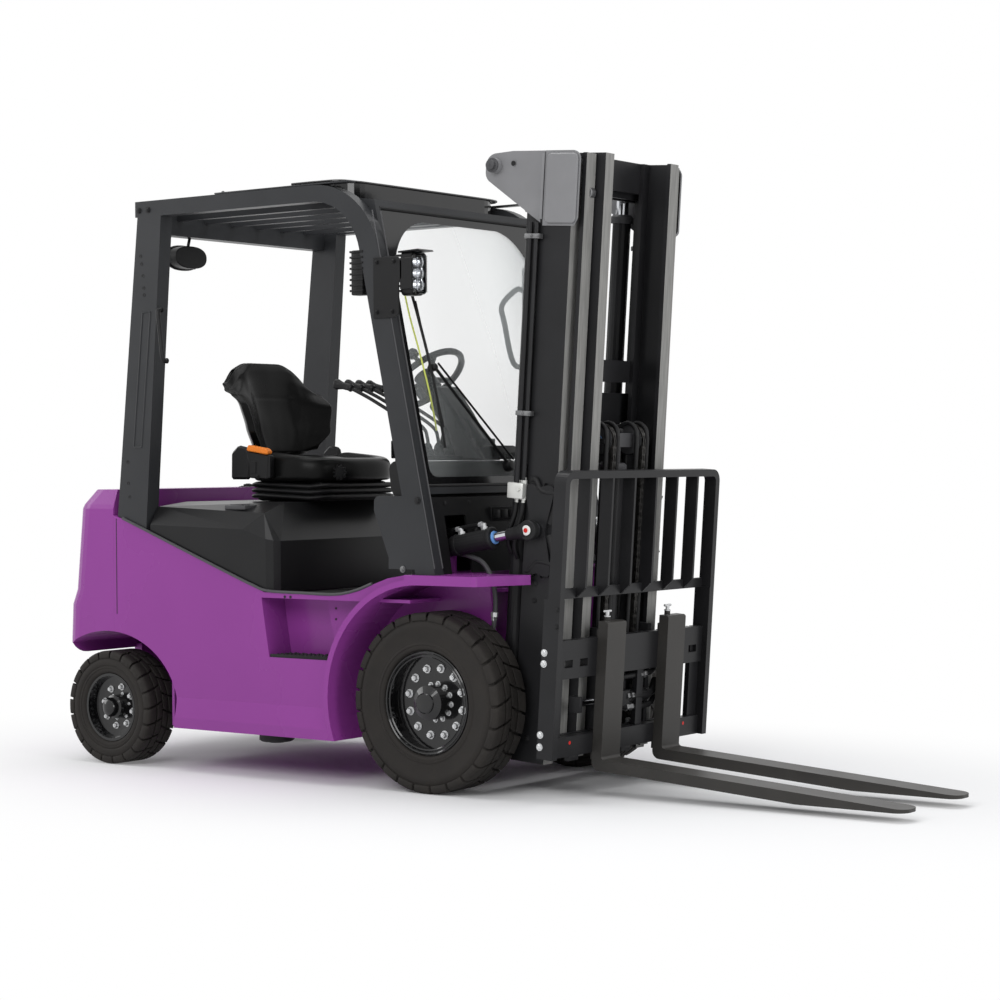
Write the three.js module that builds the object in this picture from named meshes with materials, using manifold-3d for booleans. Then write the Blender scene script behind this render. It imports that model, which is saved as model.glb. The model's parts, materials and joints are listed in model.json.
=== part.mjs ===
// Electric counterbalance forklift truck with a three-stage mast, as an assembly of separate pieces.
// Millimetres. +X points at the forks, +Y to the driver's left, +Z up.
// Pieces are drawn from the middle of the front axle at floor level, and the last lines centre the truck.

import * as THREE from 'three';
import { mergeVertices } from 'three/addons/utils/BufferGeometryUtils.js';
import Module from 'manifold-3d';

const wasm = await Module();
wasm.setup();

// ---- driving dimensions ----------------------------------------------------------------------------

// running gear
const wheelbase = 1560;
const frontTyreRadius = 322;
const frontTyreWidth = 178;
const frontTyreY = 452;
const frontRimRadius = 186;
const rearTyreRadius = 222;
const rearTyreWidth = 156;
const rearTyreY = 484;
const rearRimRadius = 133;
const kingpinY = 396;
const axleTubeRadius = 50;

// body
const bodyHalfWidth = 575;
const flareOut = 20;
const skirtBottom = 166;
const creaseHeight = 285;
const wallThickness = 45;
const plateThickness = 12;
const floorHeight = 684;
const fenderTop = 777;
const fenderThickness = 20;
const fenderFrontX = 330;
const houseFrontX = 136;
const frontArchRadius = 420;
const rearArchLength = 372;
const rearArchHeight = 300;
const seamX = 30 - wheelbase;
const rearOverhang = 260;
const rearEndX = -wheelbase - rearOverhang;
const rearCornerRadius = 90;
const rearWall = 45;
const rearWallX = rearEndX + rearWall;
const counterweightTop = 1075;
const deckRearHeight = 975;
const hoodFrontX = -700;
const hoodRearX = seamX + 195;
const hoodTop = 1026;
const hoodHalfWidth = 548;
const hoodCrease = 886;
const seatFrontX = -680;
const seatRearX = -1140;
const seatHalfWidth = 265;
const cushionBottom = 1105;
const hoodWall = 14;
const wellFrontX = -725;
const wellRearX = seamX + 280;
const batteryHalfWidth = 415;
const batteryHeight = 690;
const stepBottom = 456;
const stepTop = 676;
const stepDepth = 125;
const stepRearX = -756;
const stepFrontX = -250;
const stepSlant = 37;

// overhead guard
const guardTop = 2188;
const guardBeamDepth = 60;
const guardHalfWidth = 550;
const guardBeamWidth = 52;
const guardRearX = seamX + 130;
const frontLegWidth = 88;
const frontLegFootX = 60;
const frontLegTopX = -240;
const slatCount = 6;
const slatPitch = 150;
const crossBeamBottom = 2065;
const headerFrontX = -398;
const headerRearX = -640;
const headerRise = 22;
const glassThickness = 8;

// mast, drawn upright and then leaned forward about its pivot
const mastLean = 4;
const pivotZ = 300;
const mastBottom = 125;
const mastTop = 2280;
const railDepth = 132;
const railFlange = 16;
const railWeb = 13;
const railStep = 36;
const outerRailFrontX = 375;
const pivotX = outerRailFrontX - railDepth - 143;
const outerRailY = 325;
const outerFlangeWidth = 55;
const middleRailY = 300;
const middleFlangeWidth = 57;
const middleWebInset = 38;
const innerRailY = 236;
const innerFlangeWidth = 52;
const rollerGap = 4;
const rollerRadius = railDepth / 2 - railFlange - rollerGap;
const liftHeadDepth = 20;
const liftBarrelRadius = 34;
const liftRodRadius = 24;
const liftCylinderX = outerRailFrontX - railDepth - 55;
const liftCylinderY = 272;
const freeBarrelRadius = 44;
const freeRodRadius = 27;
const freeCylinderX = 384;
const crossheadHeight = 1270;

// carriage and forks
const forkBarFrontX = 512;
const forkBarThickness = 31;
const forkBarHalfWidth = 473;
const forkBarBottom = 179;
const forkBarTop = 586;
const forkBarHeight = 70;
const upperBarHeight = 134;
const notchCount = 12;
const notchPitch = 76;
const forkThickness = 40;
const forkWidth = 118;
const forkLength = 1180;
const forkBladeTop = 157.5;
const forkShankTop = 644;
const rightForkY = -168;
const leftForkY = 226;
const backrestHalfWidth = 502;
const backrestTop = 1174;
const backrestBottom = 730;
const backrestBarCount = 6;

// tilt cylinders
const tiltFrameX = -40;
const tiltFrameZ = 866;
const tiltMastX = 340;
const tiltMastZ = 935;
const tiltY = 362;
const tiltBarrelRadius = 37;
const tiltRodRadius = 17;
const tiltPinRadius = 15.6;
const mastPinRadius = 12.8;
const tiltEyeBore = 16;

// gaps
const seat = 0.3;
const pinPlay = 0.4;

const sides = [
  { name: 'right', s: -1 },
  { name: 'left', s: 1 },
];

// ---- materials -------------------------------------------------------------------------------------

const paint = (color, roughness, metalness) =>
  new THREE.MeshStandardMaterial({ color, roughness, metalness });

const purple = paint(0x7c3a86, 0.35, 0.0);
const blackSteel = paint(0x26272a, 0.45, 0.3);
const blackPlastic = paint(0x202124, 0.55, 0.0);
const blackVinyl = paint(0x1c1c1e, 0.6, 0.0);
const rubber = paint(0x242424, 0.85, 0.0);
const glossBlack = paint(0x101012, 0.2, 0.2);
const chrome = paint(0xc8ccd0, 0.15, 1.0);
const darkGrey = paint(0x3a3c40, 0.6, 0.2);
const glass = paint(0xbfd0d4, 0.05, 0.0);

// ---- solids ----------------------------------------------------------------------------------------

// A closed three.js geometry as a solid that can be cut and joined.
function solid(geometry) {
  const bare = geometry.clone();
  bare.deleteAttribute('normal');
  bare.deleteAttribute('uv');
  const merged = mergeVertices(bare, 1e-3);
  const mesh = new wasm.Mesh({
    numProp: 3,
    vertProperties: new Float32Array(merged.attributes.position.array),
    triVerts: new Uint32Array(merged.index.array),
  });
  return new wasm.Manifold(mesh);
}

const join = (...parts) => parts.flat().reduce((a, b) => a.add(b));
const cut = (body, ...tools) => tools.flat().reduce((a, b) => a.subtract(b), body);

function box(x0, x1, y0, y1, z0, z1) {
  const g = new THREE.BoxGeometry(Math.abs(x1 - x0), Math.abs(y1 - y0), Math.abs(z1 - z0));
  g.translate((x0 + x1) / 2, (y0 + y1) / 2, (z0 + z1) / 2);
  return solid(g);
}

// A bar or tube between two points.
function rod(from, to, radius, segments = 20) {
  const a = new THREE.Vector3(...from);
  const b = new THREE.Vector3(...to);
  const along = b.clone().sub(a);
  const g = new THREE.CylinderGeometry(radius, radius, along.length(), segments);
  const turn = new THREE.Quaternion().setFromUnitVectors(new THREE.Vector3(0, 1, 0), along.normalize());
  g.applyQuaternion(turn);
  g.translate((a.x + b.x) / 2, (a.y + b.y) / 2, (a.z + b.z) / 2);
  return solid(g);
}

// An outline whose corners may be rounded: each point is [a, b] or [a, b, radius].
function outline(points, stepsPerArc = 8) {
  const shape = [];
  const n = points.length;
  points.forEach(([px, py, r = 0], i) => {
    const p = new THREE.Vector2(px, py);
    if (r <= 0) {
      shape.push(p);
      return;
    }
    const before = new THREE.Vector2(...points[(i + n - 1) % n].slice(0, 2)).sub(p).normalize();
    const after = new THREE.Vector2(...points[(i + 1) % n].slice(0, 2)).sub(p).normalize();
    const half = Math.acos(THREE.MathUtils.clamp(before.dot(after), -1, 1)) / 2;
    const middle = before.clone().add(after).normalize();
    const centre = p.clone().addScaledVector(middle, r / Math.sin(half));
    const start = p.clone().addScaledVector(before, r / Math.tan(half)).sub(centre);
    const end = p.clone().addScaledVector(after, r / Math.tan(half)).sub(centre);
    let sweep = end.angle() - start.angle();
    if (sweep > Math.PI) sweep -= 2 * Math.PI;
    if (sweep < -Math.PI) sweep += 2 * Math.PI;
    for (let k = 0; k <= stepsPerArc; k += 1) {
      const angle = start.angle() + (sweep * k) / stepsPerArc;
      shape.push(new THREE.Vector2(centre.x + r * Math.cos(angle), centre.y + r * Math.sin(angle)));
    }
  });
  return new THREE.Shape(shape);
}

const extrude = (shape, depth) =>
  new THREE.ExtrudeGeometry(shape, { depth, bevelEnabled: false, curveSegments: 24 });

// Plates cut from an outline: along Y from an (x, z) outline, along X from (y, z), along Z from (x, y).
function alongY(points, y0, y1, steps) {
  const g = extrude(outline(points, steps), Math.abs(y1 - y0));
  g.rotateX(Math.PI / 2);
  g.translate(0, Math.max(y0, y1), 0);
  return solid(g);
}

function alongX(points, x0, x1, steps) {
  const g = extrude(outline(points, steps), Math.abs(x1 - x0));
  const basis = new THREE.Matrix4().makeBasis(
    new THREE.Vector3(0, 1, 0),
    new THREE.Vector3(0, 0, 1),
    new THREE.Vector3(1, 0, 0),
  );
  g.applyMatrix4(basis);
  g.translate(Math.min(x0, x1), 0, 0);
  return solid(g);
}

function alongZ(points, z0, z1, steps) {
  const g = extrude(outline(points, steps), Math.abs(z1 - z0));
  g.translate(0, 0, Math.min(z0, z1));
  return solid(g);
}

// A turned piece about a line along Y: the profile is [radius, y] points that start and end on the axis
// or close on themselves.
function turned(profile, x, z, segments) {
  const points = profile.map(([r, y]) => new THREE.Vector2(r, y));
  if (THREE.ShapeUtils.area(points) < 0) points.reverse();
  const g = new THREE.LatheGeometry(points, segments);
  g.translate(x, 0, z);
  return solid(g);
}

// An ellipse-shaped cutter along Y.
function ellipseAlongY(x, z, a, b, y0, y1) {
  const shape = new THREE.Shape();
  shape.absellipse(x, z, a, b, 0, 2 * Math.PI, false, 0);
  const depth = Math.abs(y1 - y0);
  const g = new THREE.ExtrudeGeometry(shape, { depth, bevelEnabled: false, curveSegments: 36 });
  g.rotateX(Math.PI / 2);
  g.translate(0, Math.max(y0, y1), 0);
  return solid(g);
}

const truck = new THREE.Group();
const mast = new THREE.Group();
mast.position.set(pivotX, 0, pivotZ);
mast.rotation.y = THREE.MathUtils.degToRad(mastLean);
truck.add(mast);

// A named piece of the truck. A mast piece is drawn upright and leans with the mast.
function piece(name, body, material, group = truck) {
  const data = body.getMesh();
  const g = new THREE.BufferGeometry();
  g.setAttribute('position', new THREE.BufferAttribute(new Float32Array(data.vertProperties), 3));
  g.setIndex(new THREE.BufferAttribute(new Uint32Array(data.triVerts), 1));
  const flat = g.toNonIndexed();
  flat.computeVertexNormals();
  const mesh = new THREE.Mesh(flat, material);
  mesh.name = name;
  if (group === mast) mesh.position.set(-pivotX, 0, -pivotZ);
  group.add(mesh);
  return mesh;
}

// ---- chassis ---------------------------------------------------------------------------------------

const sideY = bodyHalfWidth - flareOut;
const rearAxleX = -wheelbase;

// The top edge of the side panel falls in a straight line from the rear to the step.
const diagonalStart = [seamX + 44, 963];
const diagonalEnd = [-742, 696];
const diagonalSlope = (diagonalEnd[1] - diagonalStart[1]) / (diagonalEnd[0] - diagonalStart[0]);
const sideTopAt = (x) => diagonalStart[1] + diagonalSlope * (x - diagonalStart[0]);

function sideWall(s) {
  const wall = alongY(
    [
      [seamX + seat, skirtBottom],
      [-300, skirtBottom],
      [-60, 600],
      [-60, fenderTop],
      [-150, fenderTop - 15],
      [-230, fenderTop - 42],
      [-330, floorHeight + 21],
      [-420, floorHeight + 8],
      diagonalEnd,
      diagonalStart,
      [seamX + seat, deckRearHeight],
    ],
    s * (sideY - wallThickness),
    s * sideY,
  );
  const flare = alongX(
    [
      [s * (sideY - 1), creaseHeight],
      [s * bodyHalfWidth, skirtBottom + 40],
      [s * bodyHalfWidth, skirtBottom],
      [s * (sideY - 1), skirtBottom],
    ],
    seamX + 200,
    -300,
  );
  return join(wall, flare);
}

const fenderLip = 22;
const fenderBarrel = (s, radius) =>
  ellipseAlongY(0, frontTyreRadius, radius, radius, s * 300, s * 800);

// The step recess seen from the side, grown by a wall.
function stepOutline(wall) {
  return [
    [stepRearX - wall, stepTop + wall * 0.57],
    [stepRearX + stepSlant - wall, stepBottom - wall],
    [stepFrontX, stepBottom - wall],
    [stepFrontX, stepTop + wall * 0.57],
  ];
}

function frontFender(s) {
  const y0 = s * 323;
  const y1 = s * bodyHalfWidth;
  const outside = ellipseAlongY(
    0,
    frontTyreRadius,
    frontArchRadius + fenderLip,
    frontArchRadius + fenderLip,
    y0,
    y1,
  );
  const rearHalf = box(-600, 0, -700, 700, skirtBottom, 1000);
  const arc = outside.intersect(rearHalf);
  const top = join(
    box(-60, houseFrontX, y0, y1, fenderTop - fenderThickness - 15, fenderTop),
    alongZ(
      [
        [-60, s * (outerRailY + 24)],
        [-60, y1],
        [fenderFrontX - 80, y1, 20],
        [fenderFrontX, s * (outerRailY + 24)],
      ],
      fenderTop - fenderThickness - 15,
      fenderTop,
    ),
  );
  const house = alongY(
    [
      [-440, 200],
      [houseFrontX + 40, 200],
      [houseFrontX + 40, 420],
      [houseFrontX, fenderTop],
      [-150, fenderTop],
      [-262, floorHeight],
      [-440, floorHeight],
    ],
    s * 323,
    s * 335,
  );
  return join(arc, top, house);
}

function chassisFrame() {
  const parts = [];
  for (const { s } of sides) {
    parts.push(sideWall(s), frontFender(s));
  }
  let body = join(parts);
  for (const { s } of sides) {
    const archY0 = s * 335;
    const archY1 = s * 800;
    body = cut(
      body,
      ellipseAlongY(0, frontTyreRadius, frontArchRadius, frontArchRadius, archY0, archY1),
      ellipseAlongY(rearAxleX, rearTyreRadius, rearArchLength, rearArchHeight, s * 125, archY1),
      rod([0, s * 300, frontTyreRadius], [0, s * 350, frontTyreRadius], axleTubeRadius + 8),
    );
  }
  const innerY = sideY - wallThickness + 1;
  const recessY = sideY - stepDepth;
  const wellFloor = box(wellRearX, -430, -innerY, innerY, skirtBottom, skirtBottom + 16);
  const wellFront = box(wellFrontX, wellFrontX + plateThickness, -innerY, innerY, skirtBottom, floorHeight);
  const wellRear = box(wellRearX - plateThickness, wellRearX, -innerY, innerY, skirtBottom, 855);
  const floorPan = box(wellFrontX, -84, -innerY, innerY, floorHeight - 12, floorHeight);
  const toeBoard = box(-96, -84, -335, 335, 470, fenderTop);
  const spine = box(rearAxleX - 150, wellRearX, -118, 118, 400, 500);
  const pivotPlates = [-1, 1].map((d) =>
    alongX(
      [
        [-90, 401],
        [-60, 165],
        [60, 165],
        [90, 401],
      ].reverse(),
      rearAxleX + d * 62 - (d < 0 ? 20 : 0),
      rearAxleX + d * 62 + (d < 0 ? 0 : 20),
    ),
  );
  const rearDeckRails = sides.map(({ s }) =>
    box(seamX + seat, wellRearX, s * (innerY - 60), s * innerY, 840, 855),
  );
  const frontPlate = box(-96, 60, -334, 334, 700, 712);
  const brackets = sides.map(({ s }) =>
    cut(
      alongY(
        [
          [-96, 480],
          [-96, 250],
          [60, 225],
          [pivotX + 40, pivotZ - 40, 30],
          [pivotX + 40, pivotZ + 45, 30],
          [40, 480],
        ],
        s * 282,
        s * 300,
      ),
      rod([0, s * 270, frontTyreRadius], [0, s * 310, frontTyreRadius], axleTubeRadius + 8),
    ),
  );
  const pivotPins = sides.map(({ s }) => rod([pivotX, s * 284, pivotZ], [pivotX, s * 322, pivotZ], 24.6));
  const ear = (y0, y1, z0) => box(tiltFrameX - 50, tiltFrameX + 22, y0, y1, z0, tiltFrameZ + 24);
  const clevises = sides.map(({ s }) =>
    join(
      ear(s * 323, s * (tiltY - 29), fenderTop - 60),
      ear(s * (tiltY + 29), s * (tiltY + 41), fenderTop - 10),
      rod([tiltFrameX, s * 325, tiltFrameZ], [tiltFrameX, s * (tiltY + 47), tiltFrameZ], tiltPinRadius),
    ),
  );
  const recesses = sides.map(({ s }) =>
    cut(
      alongY(stepOutline(14), s * (recessY - 10), s * innerY),
      fenderBarrel(s, frontArchRadius + 6),
    ),
  );
  body = join(
    body, wellFloor, wellFront, wellRear, floorPan, toeBoard, spine, pivotPlates, rearDeckRails, frontPlate,
    brackets, pivotPins, clevises, recesses,
  );
  for (const { s } of sides) {
    const opening = alongY(stepOutline(0), s * recessY, s * 700);
    const foreFacet = alongY(
      [
        [-514, stepTop + 1],
        [-466, stepBottom - 1],
        [stepFrontX + 10, stepBottom - 1],
        [stepFrontX + 10, stepTop + 1],
      ],
      s * (recessY - 1),
      s * (recessY + 34),
    );
    body = cut(body, cut(opening, fenderBarrel(s, frontArchRadius + fenderLip), foreFacet));
  }
  const axlePinHole = rod([rearAxleX - 120, 0, rearTyreRadius], [rearAxleX + 120, 0, rearTyreRadius], 25);
  return cut(body, axlePinHole);
}
piece('chassis_frame', chassisFrame(), purple);

// The counterweight is a stack of level sections: [height, how far the rear face steps in, the sides].
const weightSections = [
  [411, 62, 0],
  [466, 0, 0],
  [619, 8, 0],
  [679, 34, 0],
  [counterweightTop - 75, 68, 0],
  [counterweightTop - 58, 74, 5],
  [counterweightTop, 124, 26],
];

function weightRing([z, rearIn, sideIn]) {
  const half = sideY - sideIn;
  const rear = rearEndX + rearIn;
  const ring = [];
  for (const { s } of sides) {
    ring.push([seamX, s * half, z]);
    for (let k = 0; k <= 6; k += 1) {
      const a = (k / 6) * (Math.PI / 2);
      ring.push([
        rear + rearCornerRadius * (1 - Math.sin(a)),
        s * (half - rearCornerRadius * (1 - Math.cos(a))),
        z,
      ]);
    }
  }
  return ring;
}

function counterweight() {
  const lower = weightSections.slice(0, 4).flatMap(weightRing);
  const upper = weightSections.slice(3).flatMap(weightRing);
  let body = join(wasm.Manifold.hull(lower), wasm.Manifold.hull(upper));
  body = cut(body, box(rearWallX, seamX + 10, -191, 191, 400, 505));
  for (const { s } of sides) {
    const arch = ellipseAlongY(rearAxleX, rearTyreRadius, rearArchLength, rearArchHeight, s * 190, s * 800);
    body = cut(body, arch.intersect(box(rearWallX, seamX + 10, -800, 800, 0, 1000)));
  }
  const towBlock = box(rearWallX - 10, rearWallX + 30, -190, 190, 250, 440);
  const towPocket = box(rearEndX - 50, rearEndX + 110, -60, 60, 540, 650);
  return cut(join(body, towBlock), towPocket);
}
piece('counterweight', counterweight(), purple);

piece(
  'battery_pack',
  box(wellRearX + 10, wellFrontX - 10, -batteryHalfWidth, batteryHalfWidth, 182.3, 182.3 + batteryHeight),
  darkGrey,
);

// The deck behind the hood, between the guard's rear legs.
piece(
  'rear_deck',
  join(
    box(seamX + 1, hoodRearX - 12, -480, 480, 960, 975),
    box(seamX + 1, seamX + 13, -480, 480, 855.3, 975),
    sides.map(({ s }) => box(seamX + 1, hoodRearX - 12, s * 455, s * 480, 855.3, 975)),
  ),
  blackPlastic,
);

// Floor mat with the accelerator and brake pedals.
function floorPlate() {
  const matHalf = sideY - wallThickness - 3;
  const mat = join(
    box(hoodFrontX + 20, -275, -matHalf, matHalf, floorHeight + seat, floorHeight + 8),
    box(-276, -100, -320, 320, floorHeight + seat, floorHeight + 8),
  );
  const pedal = (y, width, z) =>
    join(
      rod([-130, y, floorHeight + 12], [-200, y, z], 9, 12),
      box(-215, -185, y - width / 2, y + width / 2, z - 30, z + 30),
    );
  return join(mat, pedal(-150, 60, floorHeight + 110), pedal(-40, 90, floorHeight + 130));
}
piece('floor_plate', floorPlate(), rubber);

// ---- dash ------------------------------------------------------------------------------------------

function dashCowl() {
  const halfWidth = guardHalfWidth - guardBeamWidth - 1;
  let body = alongY(
    [
      [-82, fenderTop + seat],
      [40, fenderTop + seat],
      [-5, 1050],
      [-62, 1050],
      [-92, 1180, 30],
      [-190, 1180, 30],
      [-180, 1080, 30],
      [-120, 980, 30],
    ],
    -halfWidth,
    halfWidth,
  );
  const inside = alongY(
    [
      [-74, fenderTop - 10],
      [32, fenderTop - 10],
      [-12, 1042],
      [-70, 1042],
      [-99, 1170],
      [-176, 1170],
      [-168, 1080],
      [-110, 980],
    ],
    -halfWidth + 8,
    halfWidth - 8,
  );
  body = cut(body, inside);
  for (const { s } of sides) {
    body = cut(body, box(-100, 60, s * (tiltY - 62), s * (tiltY + 62), 700, 985));
  }
  return body;
}
piece('dash_cowl', dashCowl(), blackPlastic);

const wheelCentre = [-405, 0, 1490];
const columnFoot = [-120, 0, 1165];

function alongColumn(t) {
  return wheelCentre.map((v, i) => v + (columnFoot[i] - v) * t);
}
piece('steering_column', join(
  rod(alongColumn(0.12), alongColumn(0.3), 32, 24),
  rod(alongColumn(0.25), alongColumn(0.82), 52, 24),
  box(-215, -125, -60, 60, 1180 + seat, 1262),
), blackPlastic);

function steeringWheel() {
  const ring = new THREE.TorusGeometry(158, 13, 8, 32);
  const g = ring.clone();
  const normal = new THREE.Vector3(...wheelCentre).sub(new THREE.Vector3(...columnFoot)).normalize();
  const turn = new THREE.Quaternion().setFromUnitVectors(new THREE.Vector3(0, 0, 1), normal);
  g.applyQuaternion(turn);
  g.translate(...wheelCentre);
  const hub = rod(alongColumn(-0.04), alongColumn(0.1193), 36, 24);
  const spokes = [90, 210, 330].map((deg) => {
    const angle = THREE.MathUtils.degToRad(deg);
    const tip = new THREE.Vector3(155 * Math.cos(angle), 155 * Math.sin(angle), 0).applyQuaternion(turn);
    tip.add(new THREE.Vector3(...wheelCentre));
    return rod(wheelCentre, tip.toArray(), 11, 12);
  });
  const knobFoot = new THREE.Vector3(155 * Math.cos(2.4), 155 * Math.sin(2.4), 0).applyQuaternion(turn);
  knobFoot.add(new THREE.Vector3(...wheelCentre));
  const knobTop = knobFoot.clone().addScaledVector(normal, 62);
  const knob = rod(knobFoot.toArray(), knobTop.toArray(), 19, 20);
  return join(solid(g), hub, spokes, knob);
}
piece('steering_wheel', steeringWheel(), blackPlastic);

// Four hydraulic levers on one base, to the right of the column.
function leverBank() {
  const parts = [box(-180, -110, -420, -175, 1180 + seat, 1200)];
  for (let i = 0; i < 4; i += 1) {
    const y = -390 + i * 62;
    parts.push(rod([-150, y, 1195], [-250, y, 1330], 7, 8));
    parts.push(rod([-245, y, 1325], [-440, y, 1470], 7, 8));
    parts.push(rod([-425, y, 1460], [-485, y, 1490], 15, 12));
    parts.push(box(-178, -120, y - 24, y + 24, 1195, 1240));
  }
  return join(parts);
}
piece('lever_bank', leverBank(), blackPlastic);

// ---- axles and wheels ------------------------------------------------------------------------------

function driveAxle() {
  const z = frontTyreRadius;
  const tube = rod([0, -448, z], [0, 448, z], axleTubeRadius);
  const motor = rod([-150, -205, z + 30], [-150, 205, z + 30], 105);
  const gearbox = alongY(
    [
      [-260, z + 20, 40],
      [-160, z - 95, 40],
      [20, z - 95, 40],
      [48, z, 20],
      [48, z + 80, 40],
      [-170, z + 140, 40],
    ],
    -110,
    110,
  );
  const ends = sides.map(({ s }) =>
    join(
      rod([0, s * (335 + seat), z], [0, s * 352, z], 112),
      rod([0, s * 351, z], [0, s * (448 - seat), z], 128),
      rod([0, s * 430, z], [0, s * 505, z], 34),
    ),
  );
  return join(tube, motor, gearbox, ends);
}
piece('drive_axle', driveAxle(), blackSteel);

// A tyre: a closed ring with round shoulders.
function tyre(radius, width, rim, y) {
  const half = width / 2;
  const shoulder = 26;
  return [
    [rim + seat, y - half + 14],
    [rim + 22, y - half],
    [radius - shoulder, y - half],
    [radius - shoulder * 0.3, y - half + shoulder * 0.3],
    [radius, y - half + shoulder],
    [radius, y + half - shoulder],
    [radius - shoulder * 0.3, y + half - shoulder * 0.3],
    [radius - shoulder, y + half],
    [rim + 22, y + half],
    [rim + seat, y + half - 14],
    [rim + seat, y - half + 14],
  ];
}

// A wheel disc: barrel, dished disc and hub cap. out is +1 or -1, the side the disc faces.
function rimProfile(rim, width, y, out, hubRadius, bore, boreEnd) {
  const at = (d) => y + out * d;
  const half = width / 2 - 12;
  return [
    [bore, at(-0.5)],
    [hubRadius, at(-0.5)],
    [rim * 0.62, at(8)],
    [rim - 18, at(8)],
    [rim - 18, at(-half)],
    [rim, at(-half)],
    [rim, at(half)],
    [rim - 10, at(half)],
    [rim - 16, at(26)],
    [rim * 0.7, at(20)],
    [hubRadius, at(14)],
    [hubRadius, at(boreEnd + 16)],
    [hubRadius * 0.6, at(boreEnd + 26)],
    [0, at(boreEnd + 28)],
    [0, at(boreEnd)],
    [bore, at(boreEnd)],
    [bore, at(-0.5)],
  ];
}

for (const { name, s } of sides) {
  const y = s * frontTyreY;
  piece(
    `front_${name}_tyre`,
    turned(tyre(frontTyreRadius, frontTyreWidth, frontRimRadius, y), 0, frontTyreRadius, 36),
    rubber,
  );
  const profile = rimProfile(frontRimRadius, frontTyreWidth, y, s, 62, 34.3, 54);
  piece(`front_${name}_rim`, turned(profile, 0, frontTyreRadius, 36), glossBlack);
}

function steerAxle() {
  const z = rearTyreRadius;
  const beam = box(rearAxleX - 42, rearAxleX + 42, -345, 345, z - 36, z + 36);
  const trunnion = rod([rearAxleX - 61.7, 0, z], [rearAxleX + 61.7, 0, z], 48);
  const pin = rod([rearAxleX - 84, 0, z], [rearAxleX + 84, 0, z], 24.7);
  const yokes = sides.map(({ s }) =>
    cut(
      join(
        rod([rearAxleX, s * kingpinY, z + 64], [rearAxleX, s * kingpinY, z + 90], 40),
        rod([rearAxleX, s * kingpinY, z - 90], [rearAxleX, s * kingpinY, z - 64], 40),
        box(rearAxleX - 38, rearAxleX + 38, s * 320, s * kingpinY, z + 64, z + 90),
        box(rearAxleX - 38, rearAxleX + 38, s * 320, s * kingpinY, z - 90, z - 64),
        box(rearAxleX - 38, rearAxleX + 38, s * 318, s * 346, z - 90, z + 90),
      ),
      rod([rearAxleX, s * kingpinY, z - 95], [rearAxleX, s * kingpinY, z + 95], 17),
    ),
  );
  return join(beam, trunnion, pin, yokes);
}
piece('steer_axle', steerAxle(), blackSteel);

for (const { name, s } of sides) {
  const z = rearTyreRadius;
  const knuckle = join(
    rod([rearAxleX, s * kingpinY, z - 63.7], [rearAxleX, s * kingpinY, z + 63.7], 34),
    rod([rearAxleX, s * kingpinY, z - 92], [rearAxleX, s * kingpinY, z + 92], 16.6),
    rod([rearAxleX, s * kingpinY, z], [rearAxleX, s * (rearTyreY + 36), z], 26),
    rod([rearAxleX, s * (kingpinY + 20), z], [rearAxleX, s * (rearTyreY - 0.8), z], 44),
  );
  piece(`steer_knuckle_${name}`, knuckle, blackSteel);
  const y = s * rearTyreY;
  piece(
    `rear_${name}_tyre`,
    turned(tyre(rearTyreRadius, rearTyreWidth, rearRimRadius, y), rearAxleX, z, 36),
    rubber,
  );
  const profile = rimProfile(rearRimRadius, rearTyreWidth, y, s, 46, 26.3, 36.3);
  piece(`rear_${name}_rim`, turned(profile, rearAxleX, z, 36), glossBlack);
}

// ---- hood and seat ---------------------------------------------------------------------------------

function hoodShape(inset) {
  const lowAt = (x) => Math.max(sideTopAt(x), diagonalEnd[1]) + seat;
  const front = hoodFrontX - inset;
  const rear = hoodRearX + inset;
  const half = hoodHalfWidth - inset;
  const points = [];
  for (const { s } of sides) {
    const crease = [
      [rear, half, hoodCrease + 54],
      [-856, half, hoodCrease + 42],
      [front - 40, half, hoodCrease + 8],
      [front - 12, half - 12, hoodCrease + 2],
      [front, half - 40, hoodCrease],
    ];
    const crown = [
      [rear, half - 48, hoodTop - 16],
      [front - 100, half - 60, hoodTop - 38],
      [rear, half - 200, hoodTop],
      [front - 120, half - 200, hoodTop],
    ];
    for (const [x, y, z] of crease) points.push([x, s * y, z - inset], [x, s * y, 500]);
    for (const [x, y, z] of crown) points.push([x, s * y, z - inset]);
  }
  const above = alongY(
    [
      [rear, lowAt(rear) - inset * 3],
      [diagonalEnd[0], lowAt(diagonalEnd[0]) - inset * 3],
      [front, lowAt(front) - inset * 3],
      [front, hoodTop + 50],
      [rear, hoodTop + 50],
    ],
    -700,
    700,
  );
  return wasm.Manifold.hull(points).intersect(above);
}
piece('hood', cut(hoodShape(0), hoodShape(hoodWall)), blackPlastic);

piece(
  'seat_base',
  box(seatRearX + 20, seatFrontX - 70, -225, 225, hoodTop + seat, cushionBottom),
  blackPlastic,
);

function seatCushion() {
  const bottom = cushionBottom + seat;
  const side = alongY(
    [
      [seatRearX, bottom, 20],
      [seatFrontX - 15, bottom, 30],
      [seatFrontX, bottom + 112, 40],
      [seatRearX, bottom + 92, 20],
    ],
    -seatHalfWidth,
    seatHalfWidth,
  );
  const plan = alongZ(
    [
      [seatRearX, 15 - seatHalfWidth, 30],
      [seatFrontX, -seatHalfWidth, 120],
      [seatFrontX, seatHalfWidth, 120],
      [seatRearX, seatHalfWidth - 15, 30],
    ],
    1000,
    1300,
  );
  return side.intersect(plan);
}
piece('seat_cushion', seatCushion(), blackVinyl);

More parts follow.
